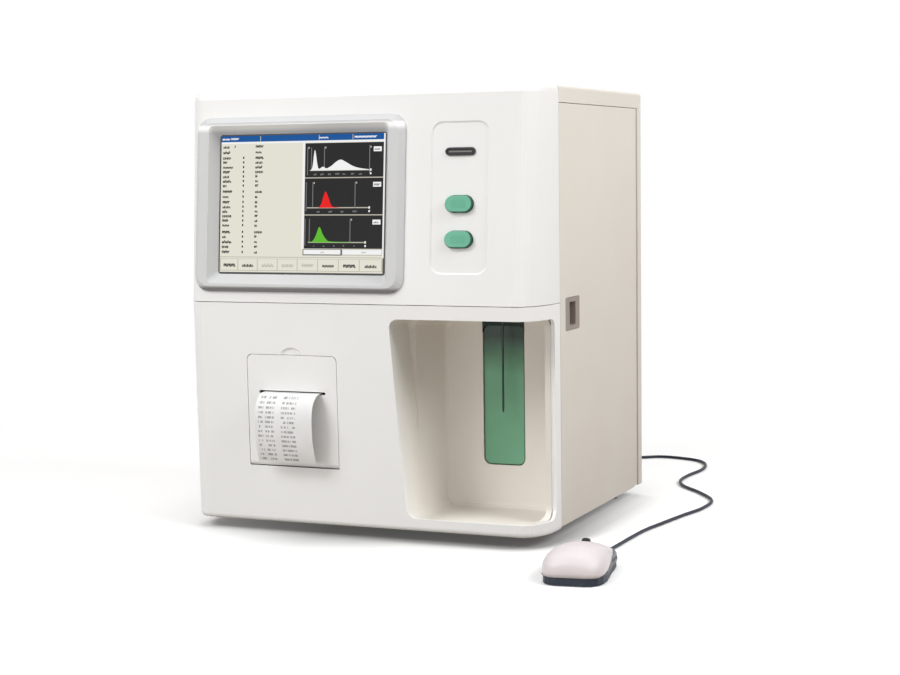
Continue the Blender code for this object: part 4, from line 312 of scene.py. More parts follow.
def bezel_finish(name, light, dark, under, crest):
    """Satin bezel: a painted highlight near the top of the crest, and painted shade on the lower outer
    slope.
    """
    n = Nodes(name)
    z = n.split()["Z"]
    foot, roof = SCREEN_Z - BEZEL_RISE, SCREEN_Z + BEZEL_RISE
    base = n.mix(n.clouds(9, 4, 0, 0.25), light, dark)
    # Painted shade on the lower outer slope in the under colour, and a painted highlight near the crest in
    # the crest colour.
    shaded = n.ramp(z, foot + BEZEL_SHADE[0], foot + BEZEL_SHADE[1], 1.0, 0.0)
    crest_highlight = n.math("MULTIPLY", n.ramp(z, roof - CREST_START[0], roof - CREST_START[1]),
                    n.ramp(z, roof - CREST_END[0], roof - CREST_END[1], 1.0, 0.0))
    base = n.mix(shaded, n.mix(crest_highlight, base, crest), under)
    return n.set(colour=base, rough=n.clouds(38, 5, 0.34, 0.46, 0.75), normal=n.grain(), specular=0.4)


# The painted shadow above the plate, and the spans of the painted shade inside the bay.
PLATE_SHADOW_Z, PLATE_SHADOW, PLATE_SHADOW_CORNER = 0.2000, (0.0424, 0.0300), 0.0005
BAY_RISE, BAY_SIDE, BAY_MOUTH = (0.03, 0.19), (0.110, 0.172), (-0.150, -0.112)
BAY_BACK_Y = -0.0575


def bay_finish(name, front, light, dark, right, shadow):
    """The bay is the front's own plastic at its mouth; inside, painted shade deepens it to a warm tone,
    darker towards the roof and the right side, with a painted shadow above the plate.
    """
    n = Nodes(name)
    x, y, z = n.split()
    inner = n.mix(n.clouds(9, 4, 0, 0.3), light, dark)
    inner = n.mix(n.ramp(z, *BAY_RISE, 0.0, 0.5), inner, dark)
    inner = n.mix(n.ramp(x, *BAY_SIDE, 0.0, 0.20), inner, right)
    # Painted shadow on the back wall above the plate, in the shadow colour.
    above = from_edge(n, x, z, (PLATE_X, PLATE_SHADOW_Z), PLATE_SHADOW, PLATE_SHADOW_CORNER)
    above = n.math("MULTIPLY", n.ramp(above, -EDGE_BLUR, EDGE_BLUR, 1.0, 0.0),
                   n.math("GREATER_THAN", y, BAY_BACK_Y))
    inner = n.mix(above, inner, shadow)
    colour = n.mix(n.ramp(y, *BAY_MOUTH), front, inner)
    return n.set(colour=colour, rough=n.clouds(38, 5, 0.68, 0.80, 0.75), normal=n.grain(), specular=0.2)


LAMP_BAR, LAMP_BAR_CORNER, LAMP_BAR_EDGE = (0.0225, 0.0016), 0.0008, (-0.0002, 0.0003)


def lens_finish(name, line, edge):
    """A narrow light bar lying deep in a dark rim."""
    n = Nodes(name)
    x, _, z = n.split()
    inside = from_edge(n, x, z, (KEY_X, LAMP_Z), LAMP_BAR, LAMP_BAR_CORNER)
    colour = n.mix(n.ramp(inside, *LAMP_BAR_EDGE), line, edge)
    return n.set(colour=colour, rough=0.3, normal=n.bump(n.noise(900, 2), 0.2, 0.00002), specular=0.4)


SKIRT_TAIL, SKIRT_NOSE, SKIRT_LOW, SKIRT_HIGH = -0.042, 0.031, 0.0072, 0.0180
MOUSE_EASE = 0.006


def mouse_finish(name, light, dark, skirt):
    """White over navy: the navy climbs the flanks from the tail to the nose."""
    n = Nodes(name)
    x, y, z = n.split()
    side = n.math("SUBTRACT", x, MOUSE_AT.x)
    ahead = n.math("SUBTRACT", y, MOUSE_AT.y)
    along = n.math("SUBTRACT", n.math("MULTIPLY", ahead, math.cos(MOUSE_TURN)),
                   n.math("MULTIPLY", side, math.sin(MOUSE_TURN)))
    edge = n.ramp(along, SKIRT_TAIL, SKIRT_NOSE, SKIRT_LOW, SKIRT_HIGH)
    share = n.ramp(n.math("SUBTRACT", z, edge), -EDGE_BLUR, EDGE_BLUR)
    base = n.mix(n.clouds(30, 4, 0, 0.4), light, dark)
    rounded = n.tree.nodes.new("ShaderNodeBevel")
    rounded.samples = 8
    rounded.inputs["Radius"].default_value = MOUSE_EASE
    skin = n.bump(n.noise(1500, 2), 0.3, 0.00003, rounded.outputs["Normal"])
    return n.set(colour=n.mix(share, skirt, base), rough=n.clouds(50, 4, 0.34, 0.44), normal=skin,
                 specular=0.4)


PLATE_Z, PLATE_SIZE, PLATE_CORNER = 0.1294, (0.0420, 0.1408), 0.0070
PLATE_SHADE, PLATE_GROOVE = (0.150, 0.185), (-0.0016, -0.0008)


def deep_plate(name, light, dark, deep, groove):
    """The plate behind the needle: painted shade gathers towards the roof it runs into, and a groove rims
    it.
    """
    n = Nodes(name)
    x, _, z = n.split()
    base = n.mix(n.clouds(30, 4, 0, 0.4), light, dark)
    height = n.math("ADD", z, n.math("MULTIPLY", n.noise(14, 3), 0.010))
    # Painted shade: the deep colour darkens the plate towards the roof, along a ragged line.
    base = n.mix(n.ramp(height, *PLATE_SHADE, 0.0, 0.94), base, deep)
    rim = from_edge(n, x, z, (PLATE_X, PLATE_Z), PLATE_SIZE, PLATE_CORNER, foot_only=True)
    base = n.mix(n.ramp(rim, *PLATE_GROOVE), base, groove)
    return n.set(colour=base, rough=n.clouds(50, 4, 0.36, 0.48), normal=n.grain(0.3), specular=0.35)


TRACK_SCALE, TRACK_GAP, PAD_SCALE = 90, 0.06, 260


def circuit(name, light, dark, tin):
    """Solder mask over copper tracks, with tinned pads."""
    n = Nodes(name)
    tracks = n.tree.nodes.new("ShaderNodeTexBrick")
    tracks.inputs["Scale"].default_value = TRACK_SCALE
    tracks.inputs["Mortar Size"].default_value = TRACK_GAP
    tracks.inputs["Color1"].default_value = light
    tracks.inputs["Color2"].default_value = light
    tracks.inputs["Mortar"].default_value = dark
    mapping = n.tree.nodes.new("ShaderNodeMapping")
    mapping.inputs["Rotation"].default_value = (math.pi / 2, 0, math.pi / 2)
    n.tree.links.new(n.place, mapping.inputs["Vector"])
    n.tree.links.new(mapping.outputs["Vector"], tracks.inputs["Vector"])
    pads = n.ramp(n.voronoi(PAD_SCALE), 0.16, 0.2, 1.0, 0.0)
    return n.set(colour=n.mix(pads, tracks.outputs["Color"], tin), rough=n.ramp(pads, 0, 1, 0.42, 0.25),
                 metal=n.math("MULTIPLY", pads, 0.8), normal=n.bump(tracks.outputs["Fac"], 0.3, 0.00005))


ROW_PITCH, ROW_START, ROW_END = 0.0044, 0.28, 0.74
STROKE_PITCH, BLANK_SHARE = 0.00085, 0.34
PRINT_COLUMNS = ((-0.0905, -0.0850), (-0.0825, -0.0735), (-0.0665, -0.0515))
PRINT_STARTS_Y = -0.1535
INK_DEPTH = 0.75


def printed_paper(name, light, dark, ink):
    """Thermal paper with rows of short printed marks in three columns, none of them a letter."""
    n = Nodes(name)
    x, y, z = n.split()
    row = n.math("FLOOR", n.math("DIVIDE", z, ROW_PITCH))
    inside = n.math("FRACT", n.math("DIVIDE", z, ROW_PITCH))
    line = n.between(inside, ROW_START, ROW_END)
    stroke = n.tree.nodes.new("ShaderNodeTexWhiteNoise")
    stroke.noise_dimensions = "2D"
    join = n.tree.nodes.new("ShaderNodeCombineXYZ")
    n.tree.links.new(n.math("FLOOR", n.math("DIVIDE", x, STROKE_PITCH)), join.inputs["X"])
    n.tree.links.new(row, join.inputs["Y"])
    n.tree.links.new(join.outputs["Vector"], stroke.inputs["Vector"])
    mark = n.math("GREATER_THAN", stroke.outputs["Value"], BLANK_SHARE)
    bands = [n.between(x, low, high) for low, high in PRINT_COLUMNS]
    columns = n.math("ADD", n.math("ADD", bands[0], bands[1]), bands[2])
    outside = n.math("LESS_THAN", y, PRINT_STARTS_Y)
    share = n.math("MULTIPLY", n.math("MULTIPLY", line, mark), n.math("MULTIPLY", columns, outside))
    broken = n.ramp(n.noise(2600, 2), 0.35, 0.6, 0.35, 1.0)
    share = n.math("MULTIPLY", n.math("MULTIPLY", share, broken), INK_DEPTH)
    colour = n.mix(share, n.mix(n.clouds(60, 4, 0, 1), light, dark), ink)
    return n.set(colour=colour, rough=0.6, normal=n.bump(n.noise(1800, 3), 0.2, 0.00003), specular=0.25)


PIXEL, PIXEL_EDGE, PICTURE_GLOW = 0.00022, 0.92, 0.90


def glowing(name, colour, dark, unlit):
    """A lit patch of the display: its own light over a faint pixel grid."""
    n = Nodes(name)
    x, _, z = n.split()
    across, upward = [n.ramp(n.math("FRACT", n.math("DIVIDE", way, PIXEL)), 0, 1, PIXEL_EDGE, 1.0)
                      for way in (x, z)]
    shade = n.mix(n.math("MULTIPLY", across, upward), dark, colour)
    return n.set(colour=unlit, rough=0.35, glow=shade, glow_strength=PICTURE_GLOW, specular=0.15)


def finishes():
    # Key colours: light, dark, and the painted shade of the lower right wall.
    keys = (tone(112, 186, 156), tone(92, 168, 138), tone(24, 74, 56))
    return {
        "front": moulded("front_moulding", tone(240, 240, 239), tone(229, 229, 227), 0.42),
        # The cover's third colour is its painted shade at the foot.
        "cover": powder("cover_paint", tone(227, 222, 213), tone(217, 211, 202), tone(190, 180, 170)),
        # Bezel: light, dark, the painted shade of the lower slope, and the painted highlight of the crest.
        "bezel": bezel_finish("bezel_plastic", tone(208, 209, 210), tone(200, 201, 202),
                              tone(128, 127, 128), tone(250, 251, 251)),
        # Bay: the front's colour, then painted shade inside: light, dark towards the roof, the right side,
        # and the shadow above the plate.
        "bay": bay_finish("bay_plastic", tone(238, 236, 232), tone(238, 233, 226), tone(224, 218, 210),
                          tone(206, 200, 191), tone(44, 56, 48)),
        "works": moulded("works_plastic", tone(216, 209, 198), tone(204, 196, 184), 0.45),
        # The needle's steel is darkened and tinted green: painted shade, and a painted reflection of the
        # green plate.
        "needle": metal("needle_steel", tone(66, 78, 70), tone(38, 48, 42), 0.35),
        # Plate: light, dark, the painted shade under the roof, and the groove.
        "plate": deep_plate("plate_green", tone(112, 170, 134), tone(98, 154, 120), tone(30, 40, 36),
                            tone(18, 38, 26)),
        "start": key_top("key_start", START_Z, *keys),
        "drain": key_top("key_drain", DRAIN_Z, *keys),
        "grey": moulded("trim_grey", tone(148, 138, 130), tone(128, 118, 110), 0.5, patch=50),
        "dark": moulded("dark_plastic", tone(52, 52, 55), tone(40, 40, 43), 0.48, patch=40),
        "rubber": moulded("black_rubber", tone(34, 34, 35), tone(24, 24, 25), 0.75, grain=900, patch=40),
        "steel": metal("plated_steel", tone(205, 205, 208), tone(172, 172, 176), 0.3),
        "screw": metal("screw_steel", tone(190, 184, 172), tone(150, 144, 134), 0.26, stretch=(1, 1, 4)),
        "board": circuit("board_green", tone(22, 104, 58), tone(12, 74, 40), tone(185, 185, 178)),
        "paper": printed_paper("thermal_paper", tone(238, 238, 238), tone(231, 231, 231), tone(62, 62, 70)),
        "roll": moulded("paper_side", tone(240, 240, 238), tone(228, 228, 226), 0.65, grain=2600,
                        patch=120),
        "clear": moulded("clear_plastic", tone(214, 224, 228), tone(200, 212, 217), 0.22),
        "mouse": mouse_finish("mouse_white", tone(221, 213, 214), tone(211, 203, 205), tone(24, 36, 52)),
        "navy": moulded("mouse_navy", tone(24, 36, 52), tone(18, 28, 42), 0.48, patch=40),
        "lens": lens_finish("lamp_lens", tone(128, 126, 124), tone(30, 30, 32)),
        "glass": moulded("display_glass", tone(60, 62, 66), tone(50, 52, 56), 0.2, patch=40),
    }


FINISH = finishes()
USE = {
    "front": ("front_panel_upper", "front_panel_lower", "printer_door"),
    "cover": ("top_lid", "left_cover", "service_door", "rear_panel"),
    "bezel": ("screen_bezel",),
    "bay": ("bay_liner",),
    "works": ("needle_carriage", "counting_baths", "syringe_frame", "reagent_ports", "valve_bank",
              "waste_pump"),
    "plate": ("needle_backplate",),
    "start": ("start_button",),
    "drain": ("drain_button",),
    "grey": ("door_pull", "lift_motor"),
    "dark": ("lamp_rim", "pump_rotor", "fan_frame", "fan_rotor", "mains_inlet", "power_rocker",
             "door_catch", "print_head", "printer_bin", "syringe_plunger"),
    "rubber": ("foot_front_left", "foot_front_right", "foot_rear_left", "foot_rear_right", "platen_roller",
               "mouse_wheel"),
    "steel": ("base_tray", "door_hinge_rod", "lift_frame", "inner_plate", "power_supply", "usb_socket"),
    "needle": ("sample_needle",),
    "screw": ("lift_screw",),
    "board": ("key_board", "main_board"),
    "paper": ("paper_strip",),
    "roll": ("paper_roll",),
    "clear": ("syringe_barrel",),
    "mouse": ("mouse_shell", "mouse_button_left", "mouse_button_right"),
    "navy": ("mouse_base", "mouse_plug"),
    "lens": ("lamp_lens",),
    "glass": ("lcd_panel",),
}


def dress():
    for key, names in USE.items():
        for name in names:
            item = nodes[name]
            if not item.data.materials:
                item.data.materials.append(FINISH[key])
            for slot in item.material_slots:
                slot.link = "OBJECT"
                slot.material = FINISH[key]


dress()


# The mouse's lead, from its plug round the coil to the mouse, on the route of the solids.
# The drop is (out from the plug, share of its height), the turn (left, out), and the route (x, y)
# from the cabinet's right side and the seat of its front.

CORD_R, CORD_Z = 0.0016, 0.0019
COIL_X, COIL_Y = 0.060, 0.22375
COIL_R, COIL_TURNS, COIL_PITCH, LOOP_POINTS = 0.0250, 7.5, 0.0038, 20
COIL_STEP = 0.8
LEAD_AWAY = 0.010
NOSE_RISE = 0.0035
PLUG_OUT = Vector((0.120, 0.19565, 0.0520))
TAIL_DROP = ((0.010, 0.985), (0.022, 0.90), (0.035, 0.68), (0.046, 0.36), (0.056, 0.08), (0.066, 0.0))
TAIL_TURN = ((0.002, 0.078), (0.010, 0.088), (0.022, 0.088), (0.031, 0.078), (0.0335, 0.062))
ROUTE = ((-0.128, 0.395), (-0.100, 0.445), (-0.069, 0.469), (-0.048, 0.482), (-0.022, 0.478),
         (0.001, 0.466), (0.0146, 0.444), (0.0206, 0.408), (0.0165, 0.364), (0.018, 0.330),
         (0.030, 0.300), (0.057, 0.266), (0.080, 0.226), (0.082, 0.182), (0.074, 0.140),
         (0.067, 0.098), (0.061, 0.060), (0.059, 0.022), (0.058, -0.018), (0.0565, -0.052))


def mouse_point(y, z):
    """A point on the mouse's own long axis, ahead of its middle."""
    return Matrix.Rotation(MOUSE_TURN, 3, "Z") @ Vector((0, y, z)) + MOUSE_AT


def coil_points():
    """The coil lies in two layers: it winds inward, steps up by one pitch and winds outward."""
    coil = []
    count = round(COIL_TURNS * LOOP_POINTS)
    for k in range(count + 1):
        t = COIL_TURNS * k / count
        radius = COIL_R - COIL_PITCH * min(t, COIL_TURNS - t)
        s = min(max((t - COIL_TURNS / 2) / COIL_STEP + 0.5, 0), 1)
        angle = math.pi + 2 * math.pi * t
        coil.append(Vector((COIL_X + radius * math.cos(angle), COIL_Y + radius * math.sin(angle),
                            CORD_Z + COIL_PITCH * s * s * (3 - 2 * s))))
    away = Vector((0, 2 * CORD_R, 0))
    return [coil[0] + away] + coil + [coil[-1] + away]


def cord_points():
    tail = [PLUG_OUT]
    tail += [Vector((PLUG_OUT.x, PLUG_OUT.y + out, CORD_Z + (PLUG_OUT.z - CORD_Z) * share))
             for out, share in TAIL_DROP]
    tail += [Vector((PLUG_OUT.x - left, PLUG_OUT.y + out, CORD_Z)) for left, out in TAIL_TURN]
    coil = coil_points()
    top = coil[-1]
    climb = [Vector((top.x, top.y + LEAD_AWAY, (top.z + CORD_Z) / 2))]
    bench = [coil[0] + Vector((0, LEAD_AWAY, 0))]
    bench += [Vector((SIDE + x, SEAT + y, CORD_Z)) for x, y in ROUTE]
    bench += [mouse_point(MOUSE_END + 0.020, CORD_Z), mouse_point(MOUSE_END + 0.0103, NOSE_RISE)]
    return tail + climb + coil[::-1] + bench


def lay_cord():
    points = cord_points()
    curve = bpy.data.curves.new("mouse_lead", "CURVE")
    curve.dimensions = "3D"
    curve.bevel_depth = CORD_R
    curve.bevel_resolution = 4
    curve.resolution_u = 6
    curve.use_fill_caps = True
    line = curve.splines.new("BEZIER")
    line.bezier_points.add(len(points) - 1)
    padded = [2 * points[0] - points[1]] + points + [2 * points[-1] - points[-2]]
    for node, before, here, after in zip(line.bezier_points, padded, points, padded[2:]):
        reach = (after - before).normalized()
        node.handle_left_type = node.handle_right_type = "FREE"
        node.co = here
        node.handle_left = here - reach * (here - before).length / 3
        node.handle_right = here + reach * (after - here).length / 3
    item = bpy.data.objects.new("mouse_lead", curve)
    bpy.context.scene.collection.objects.link(item)
    curve.materials.append(cord_finish())
    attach(item, "housing")
    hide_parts("mouse_cord", "mouse_cord_tail", "mouse_cord_coil")


def cord_finish():
    """The lead's soft dark sheath."""
    n = Nodes("mouse_cord")
    fine = n.noise(1500, 2)
    colour = n.mix(n.clouds(45, 3, 0, 1), tone(30, 36, 56), tone(20, 25, 42))
    return n.set(colour=colour, rough=n.ramp(fine, 0.3, 0.7, 0.5, 0.6), normal=n.bump(fine, 0.2, 0.00003))


lay_cord()


# The display's picture: lit patches just before the glass, with marks that are no letters

WINDOW_W, WINDOW_H = 0.1724, 0.1294
PICTURE_DEPTH, LAYER_STEP = 0.0051, 0.00004
FRONT_FOOT_Y, FRONT_TOP_Y, FRONT_FOOT_Z, FRONT_RISE = 0.060, 0.044, 0.217, 0.195
TABLE_ROWS = (0.916, 0.876, 0.836, 0.803, 0.769, 0.735, 0.702, 0.669, 0.636, 0.593, 0.557,
              0.518, 0.484, 0.451, 0.418, 0.384, 0.351, 0.302, 0.268, 0.231, 0.196, 0.157)
LIGHTS = {"shade": ((84, 84, 84), (60, 60, 60)), "sand": ((236, 234, 219), (228, 226, 210)),
          "blue": ((10, 88, 162), (6, 76, 146)), "night": ((36, 36, 37), (28, 28, 29)),
          "white": ((252, 252, 252), (240, 240, 240)), "ink": ((14, 14, 18), (10, 10, 14)),
          "faint": ((200, 196, 180), (190, 186, 170)), "ash": ((128, 128, 130), (110, 110, 112)),
          "red": ((244, 26, 22), (220, 16, 14)), "green": ((98, 194, 44), (82, 174, 34))}


class Picture:
    """Flat patches on the leaning glass, in shares of the window's width and height."""

    def __init__(self):
        self.bm = bmesh.new()
        self.kinds = list(LIGHTS)
        self.layer = 0

    def spot(self, u, v):
        x = SCREEN_X + (u - 0.5) * WINDOW_W
        z = SCREEN_Z + (v - 0.5) * WINDOW_H
        reach = FRONT_FOOT_Y + (FRONT_TOP_Y - FRONT_FOOT_Y) * (z - FRONT_FOOT_Z) / FRONT_RISE
        return self.bm.verts.new((x, SEAT - reach + PICTURE_DEPTH - LAYER_STEP * self.layer, z))

    def shape(self, kind, points):
        face = self.bm.faces.new([self.spot(u, v) for u, v in points])
        face.material_index = self.kinds.index(kind)

    def patch(self, kind, u0, v0, u1, v1):
        self.shape(kind, ((u0, v0), (u1, v0), (u1, v1), (u0, v1)))

    def marks(self, kind, u, v, width, height, seed):
        """A run of short strokes as dense as small print."""
        at = u
        step = 0
        while at < u + width:
            pick = (seed * 7 + step * 5 + step * step) % 6
            stroke = 0.0040 + 0.0012 * (pick % 3)
            low = v - height / 2 + height * 0.12 * (pick // 3)
            self.patch(kind, at, low, at + stroke, low + height * (0.55 + 0.09 * (pick % 4)))
            if pick % 2:
                bar = low + height * 0.18 * pick / 2
                self.patch(kind, at, bar, at + stroke * 2, bar + height * 0.22)
            at += stroke + 0.0014 + 0.0005 * (pick % 4)
            step += 1

    def hill(self, kind, base, points):
        """A filled curve above its base line, smoothed between its points."""
        least = base + HILL_LEAST
        smooth = eased(points, HILL_STEPS)
        for (u0, v0), (u1, v1) in zip(smooth, smooth[1:]):
            self.shape(kind, ((u0, base), (u1, base), (u1, max(v1, least)), (u0, max(v0, least))))


# Layout of the title bar and the table, in the same shares

TITLE_MARKS = ((0.012, 0.045), (0.066, 0.038), (0.602, 0.055), (0.812, 0.125))
TITLE_BREAKS = (0.245, 0.600, 0.800)
NAME_WIDTHS = (0.022, 0.034, 0.046, 0.056, 0.038)
LONG_VALUES = (2, 3, 4, 5, 9, 17)


def value_width(row):
    if row < 2:
        return 0.036
    return 0.042 if row in LONG_VALUES else (0.012, 0.014)[row % 2]


def title_and_table(p):
    p.layer = 1
    p.patch("sand", 0.006, 0.012, 0.988, 0.993)
    p.layer = 2
    p.patch("white", 0.984, 0.120, 0.993, 0.993)
    p.patch("white", 0.006, 0.936, 0.988, 0.950)
    p.patch("white", 0.505, 0.180, 0.520, 0.936)
    p.patch("blue", 0.006, 0.950, 0.984, 0.993)
    p.layer = 3
    for k, (u, width) in enumerate(TITLE_MARKS):
        p.marks("white", u, 0.972, width, 0.018, k + 2)
    for u in TITLE_BREAKS:
        p.patch("faint", u, 0.953, u + 0.004, 0.990)
    for k, v in enumerate(TABLE_ROWS):
        p.marks("ink", 0.018, v, NAME_WIDTHS[(k * 3 + 1) % 5], 0.025, k)
        if k > 1:
            p.patch("ink", 0.141, v - 0.008, 0.149, v + 0.008)
        p.marks("ink", 0.218, v, value_width(k), 0.024, k + 9)
    p.marks("ink", 0.088, TABLE_ROWS[0], 0.006, 0.024, 3)


# Layout of the three plots: uprights as (u, low, high), flags as (u, top), axes as (v, left, right)

UPRIGHTS = ((0.533, 0.705, 0.905), (0.556, 0.745, 0.900), (0.633, 0.740, 0.905), (0.900, 0.720, 0.912),
            (0.528, 0.450, 0.655), (0.567, 0.475, 0.655), (0.818, 0.470, 0.655),
            (0.524, 0.205, 0.395), (0.550, 0.230, 0.395), (0.792, 0.228, 0.395))
FLAGS = ((0.533, 0.905), (0.633, 0.905), (0.900, 0.905), (0.567, 0.655), (0.818, 0.655), (0.792, 0.395))
AXES = ((0.738, 0.550, 0.905), (0.473, 0.535, 0.900), (0.228, 0.545, 0.880))
TICKS = ((0.712, 0.016, (0.580, 0.620, 0.667, 0.710, 0.752, 0.802, 0.848)),
         (0.447, 0.016, (0.602, 0.673, 0.745, 0.816)),
         (0.205, 0.005, (0.585, 0.643, 0.705, 0.762, 0.825)))
HILLS = (("white", 0.738, ((0.552, 0.738), (0.565, 0.765), (0.578, 0.884), (0.594, 0.780), (0.604, 0.750),
                           (0.628, 0.764), (0.648, 0.752), (0.676, 0.768), (0.706, 0.798), (0.734, 0.812),
                           (0.768, 0.792), (0.802, 0.768), (0.842, 0.752), (0.898, 0.742))),
         ("red", 0.473, ((0.604, 0.474), (0.620, 0.498), (0.634, 0.556), (0.646, 0.588), (0.660, 0.556),
                         (0.680, 0.492), (0.696, 0.479), (0.730, 0.475))),
         ("green", 0.228, ((0.550, 0.230), (0.574, 0.240), (0.592, 0.278), (0.612, 0.338), (0.634, 0.284),
                           (0.656, 0.248), (0.680, 0.235), (0.800, 0.231))))
HILL_STEPS, HILL_LEAST = 6, 0.002
PLOT_SEAMS = (0.423, 0.686)
PLOT_BADGES = (0.884, 0.636, 0.372)


def plots(p):
    p.layer = 2
    p.patch("night", 0.520, 0.184, 0.984, 0.932)
    p.layer = 3
    for v in PLOT_SEAMS:
        p.patch("faint", 0.520, v - 0.004, 0.984, v + 0.003)
    for u, low, high in UPRIGHTS:
        p.patch("ash", u, low, u + 0.0045, high)
    for u, top in FLAGS:
        p.patch("faint", u + 0.006, top - 0.012, u + 0.013, top)
    for v, low, high in AXES:
        p.patch("faint", low, v - 0.003, high, v + 0.004)
        p.patch("white", high, v - 0.007, high + 0.009, v + 0.009)
        p.patch("white", high, v - 0.031, high + 0.009, v - 0.017)
    for v, width, places in TICKS:
        for k, u in enumerate(places):
            p.marks("ash", u - 0.008, v, width, 0.016, k)
    p.layer = 4
    for kind, base, points in HILLS:
        p.hill(kind, base, points)
    for k, v in enumerate(PLOT_BADGES):
        p.layer = 4
        p.patch("white", 0.925, v - 0.017, 0.972, v + 0.017)
        p.layer = 5
        p.marks("ash", 0.931, v, 0.030, 0.018, k + 4)


# Layout of the rows below: the eight buttons' edges, and the buttons with dark marks

BUTTON_EDGES = (0.010, 0.120, 0.240, 0.362, 0.483, 0.606, 0.730, 0.853, 0.984)
DARK_BUTTONS = (0, 1, 5, 6, 7)
FIELD_MARKS = (0.620, 0.862)


def button_rows(p):
    p.layer = 2
    p.patch("faint", 0.006, 0.118, 0.988, 0.124)
    p.patch("shade", 0.514, 0.136, 0.748, 0.180)
    p.patch("faint", 0.748, 0.136, 0.984, 0.180)
    p.layer = 3
    p.patch("white", 0.519, 0.143, 0.740, 0.176)
    p.patch("white", 0.752, 0.143, 0.981, 0.176)
    p.patch("faint", 0.006, 0.022, 0.988, 0.110)
    for k, (low, high) in enumerate(zip(BUTTON_EDGES, BUTTON_EDGES[1:])):
        p.layer = 4
        p.patch("sand", low + 0.002, 0.027, high - 0.003, 0.107)
        p.layer = 5
        kind = "ink" if k in DARK_BUTTONS else "faint"
        p.marks(kind, (low + high) / 2 - 0.034, 0.064, 0.066, 0.030, k + 5)
    for k, u in enumerate(FIELD_MARKS):
        p.marks("faint", u, 0.160, 0.024, 0.014, k)


def picture():
    p = Picture()
    p.patch("shade", 0.0, 0.0, 1.0, 1.0)
    title_and_table(p)
    plots(p)
    button_rows(p)
    mesh = bpy.data.meshes.new("display_picture")
    p.bm.to_mesh(mesh)
    p.bm.free()
    for kind, (light, dark) in LIGHTS.items():
        mesh.materials.append(glowing("display_" + kind, tone(*light), tone(*dark), tone(8, 8, 9)))
    item = bpy.data.objects.new("display_picture", mesh)
    bpy.context.scene.collection.objects.link(item)
    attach(item, "housing")


picture()


# The printed strip: it leaves the slot, bulges forward and hangs down before the little door

STRIP_LOW, STRIP_HIGH = -0.0935, -0.0345
STRIP_PATH = ((-0.1459, 0.13345), (-0.1500, 0.13345), (-0.1540, 0.13310), (-0.1580, 0.13220),
              (-0.1616, 0.13035), (-0.1648, 0.12770), (-0.1673, 0.12420), (-0.1691, 0.11980),
              (-0.1701, 0.11460), (-0.1705, 0.10900), (-0.1704, 0.10300), (-0.1700, 0.09700),
              (-0.1692, 0.09100), (-0.1680, 0.08500), (-0.1665, 0.07950), (-0.1648, 0.07450),
              (-0.1630, 0.07000))
STRIP_T, STRIP_STEPS, STRIP_CELLS = 0.00022, 4, 8


def paper_curl():
    path = [Vector((0, y, z)) for y, z in eased(STRIP_PATH, STRIP_STEPS)]
    last = len(path) - 1
    across = [STRIP_LOW + (STRIP_HIGH - STRIP_LOW) * i / STRIP_CELLS for i in range(STRIP_CELLS + 1)]
    bm = bmesh.new()
    sheets = []
    for half in (-STRIP_T / 2, STRIP_T / 2):
        rows = []
        for k, point in enumerate(path):
            along = (path[min(k + 1, last)] - path[max(k - 1, 0)]).normalized()
            out = Vector((0, along.z, -along.y)) * half
            rows.append([bm.verts.new((x, point.y + out.y, point.z + out.z)) for x in across])
        sheets.append(rows)
    for rows in sheets:
        for low, high in zip(rows, rows[1:]):
            for i in range(STRIP_CELLS):
                bm.faces.new((low[i], low[i + 1], high[i + 1], high[i]))
    back, front = sheets
    for k in range(last):
        for i in (0, STRIP_CELLS):
            bm.faces.new((back[k][i], back[k + 1][i], front[k + 1][i], front[k][i]))
    for k in (0, last):
        for i in range(STRIP_CELLS):
            bm.faces.new((back[k][i], back[k][i + 1], front[k][i + 1], front[k][i]))
    item = from_bmesh("paper_curl", bm, FINISH["paper"])
    item.data.set_sharp_from_angle(angle=math.radians(50))
    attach(item, "printer_flap")
    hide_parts("paper_strip")


paper_curl()


# Small visible detail: sleeves on the lead, the bead in the bay's seam, screw heads in the rear panel.
# The bead leans as the front does, by one in a hundred and fifty.

SLEEVE_RIBS = 5
RIB_SHAPE = ((0.18, 0), (0.26, 0.00035), (0.38, 0.00035), (0.46, 0))
SLEEVE_SIDES = 28
BEAD_LOW, BEAD_HIGH, BEAD_STEPS = 0.0210, 0.1985, 24
BEAD_LEFT, BEAD_RIGHT, BEAD_EASE, BEAD_DEPTH = 0.17556, 0.17694, 0.00034, 0.0040
BEAD_Y, BEAD_AT_Z, BEAD_LEAN, BEAD_ROUND = -0.1072, 0.05, 150, 0.0003
SCREW_X, SCREW_Z = (-0.172, 0.172), (0.0255, 0.205, 0.3865)
SCREW_R, SCREW_SIDES = 0.0029, 24
SCREW_DOME = ((1.0, -0.0004), (1.0, 0.0003), (0.93, 0.0007), (0.72, 0.0011), (0.42, 0.0013))
RECESS_DEEP, RECESS_SHALLOW, RECESS_FLOOR = 0.0008, 0.0002, 0.0004


def rings_mesh(name, rings, material):
    """A closed solid through a row of rings, capped at both ends."""
    bm = bmesh.new()
    rows = [[bm.verts.new(point) for point in ring] for ring in rings]
    for low, high in zip(rows, rows[1:]):
        join_rings(bm, low, high)
    bm.faces.new(rows[0][::-1])
    bm.faces.new(rows[-1])
    item = from_bmesh(name, bm, material)
    item.data.set_sharp_from_angle(angle=math.radians(35))
    return item


def turned_on(start, toward, profile, sides):
    """Rings round the line from start in the direction toward, from (radius, distance) pairs."""
    axis = Vector(toward).normalized()
    across = axis.orthogonal().normalized()
    upward = axis.cross(across)
    rings = []
    for radius, distance in profile:
        middle = Vector(start) + axis * distance
        rings.append([middle + (across * math.cos(a) + upward * math.sin(a)) * radius
                      for a in [2 * math.pi * k / sides for k in range(sides)]])
    return rings


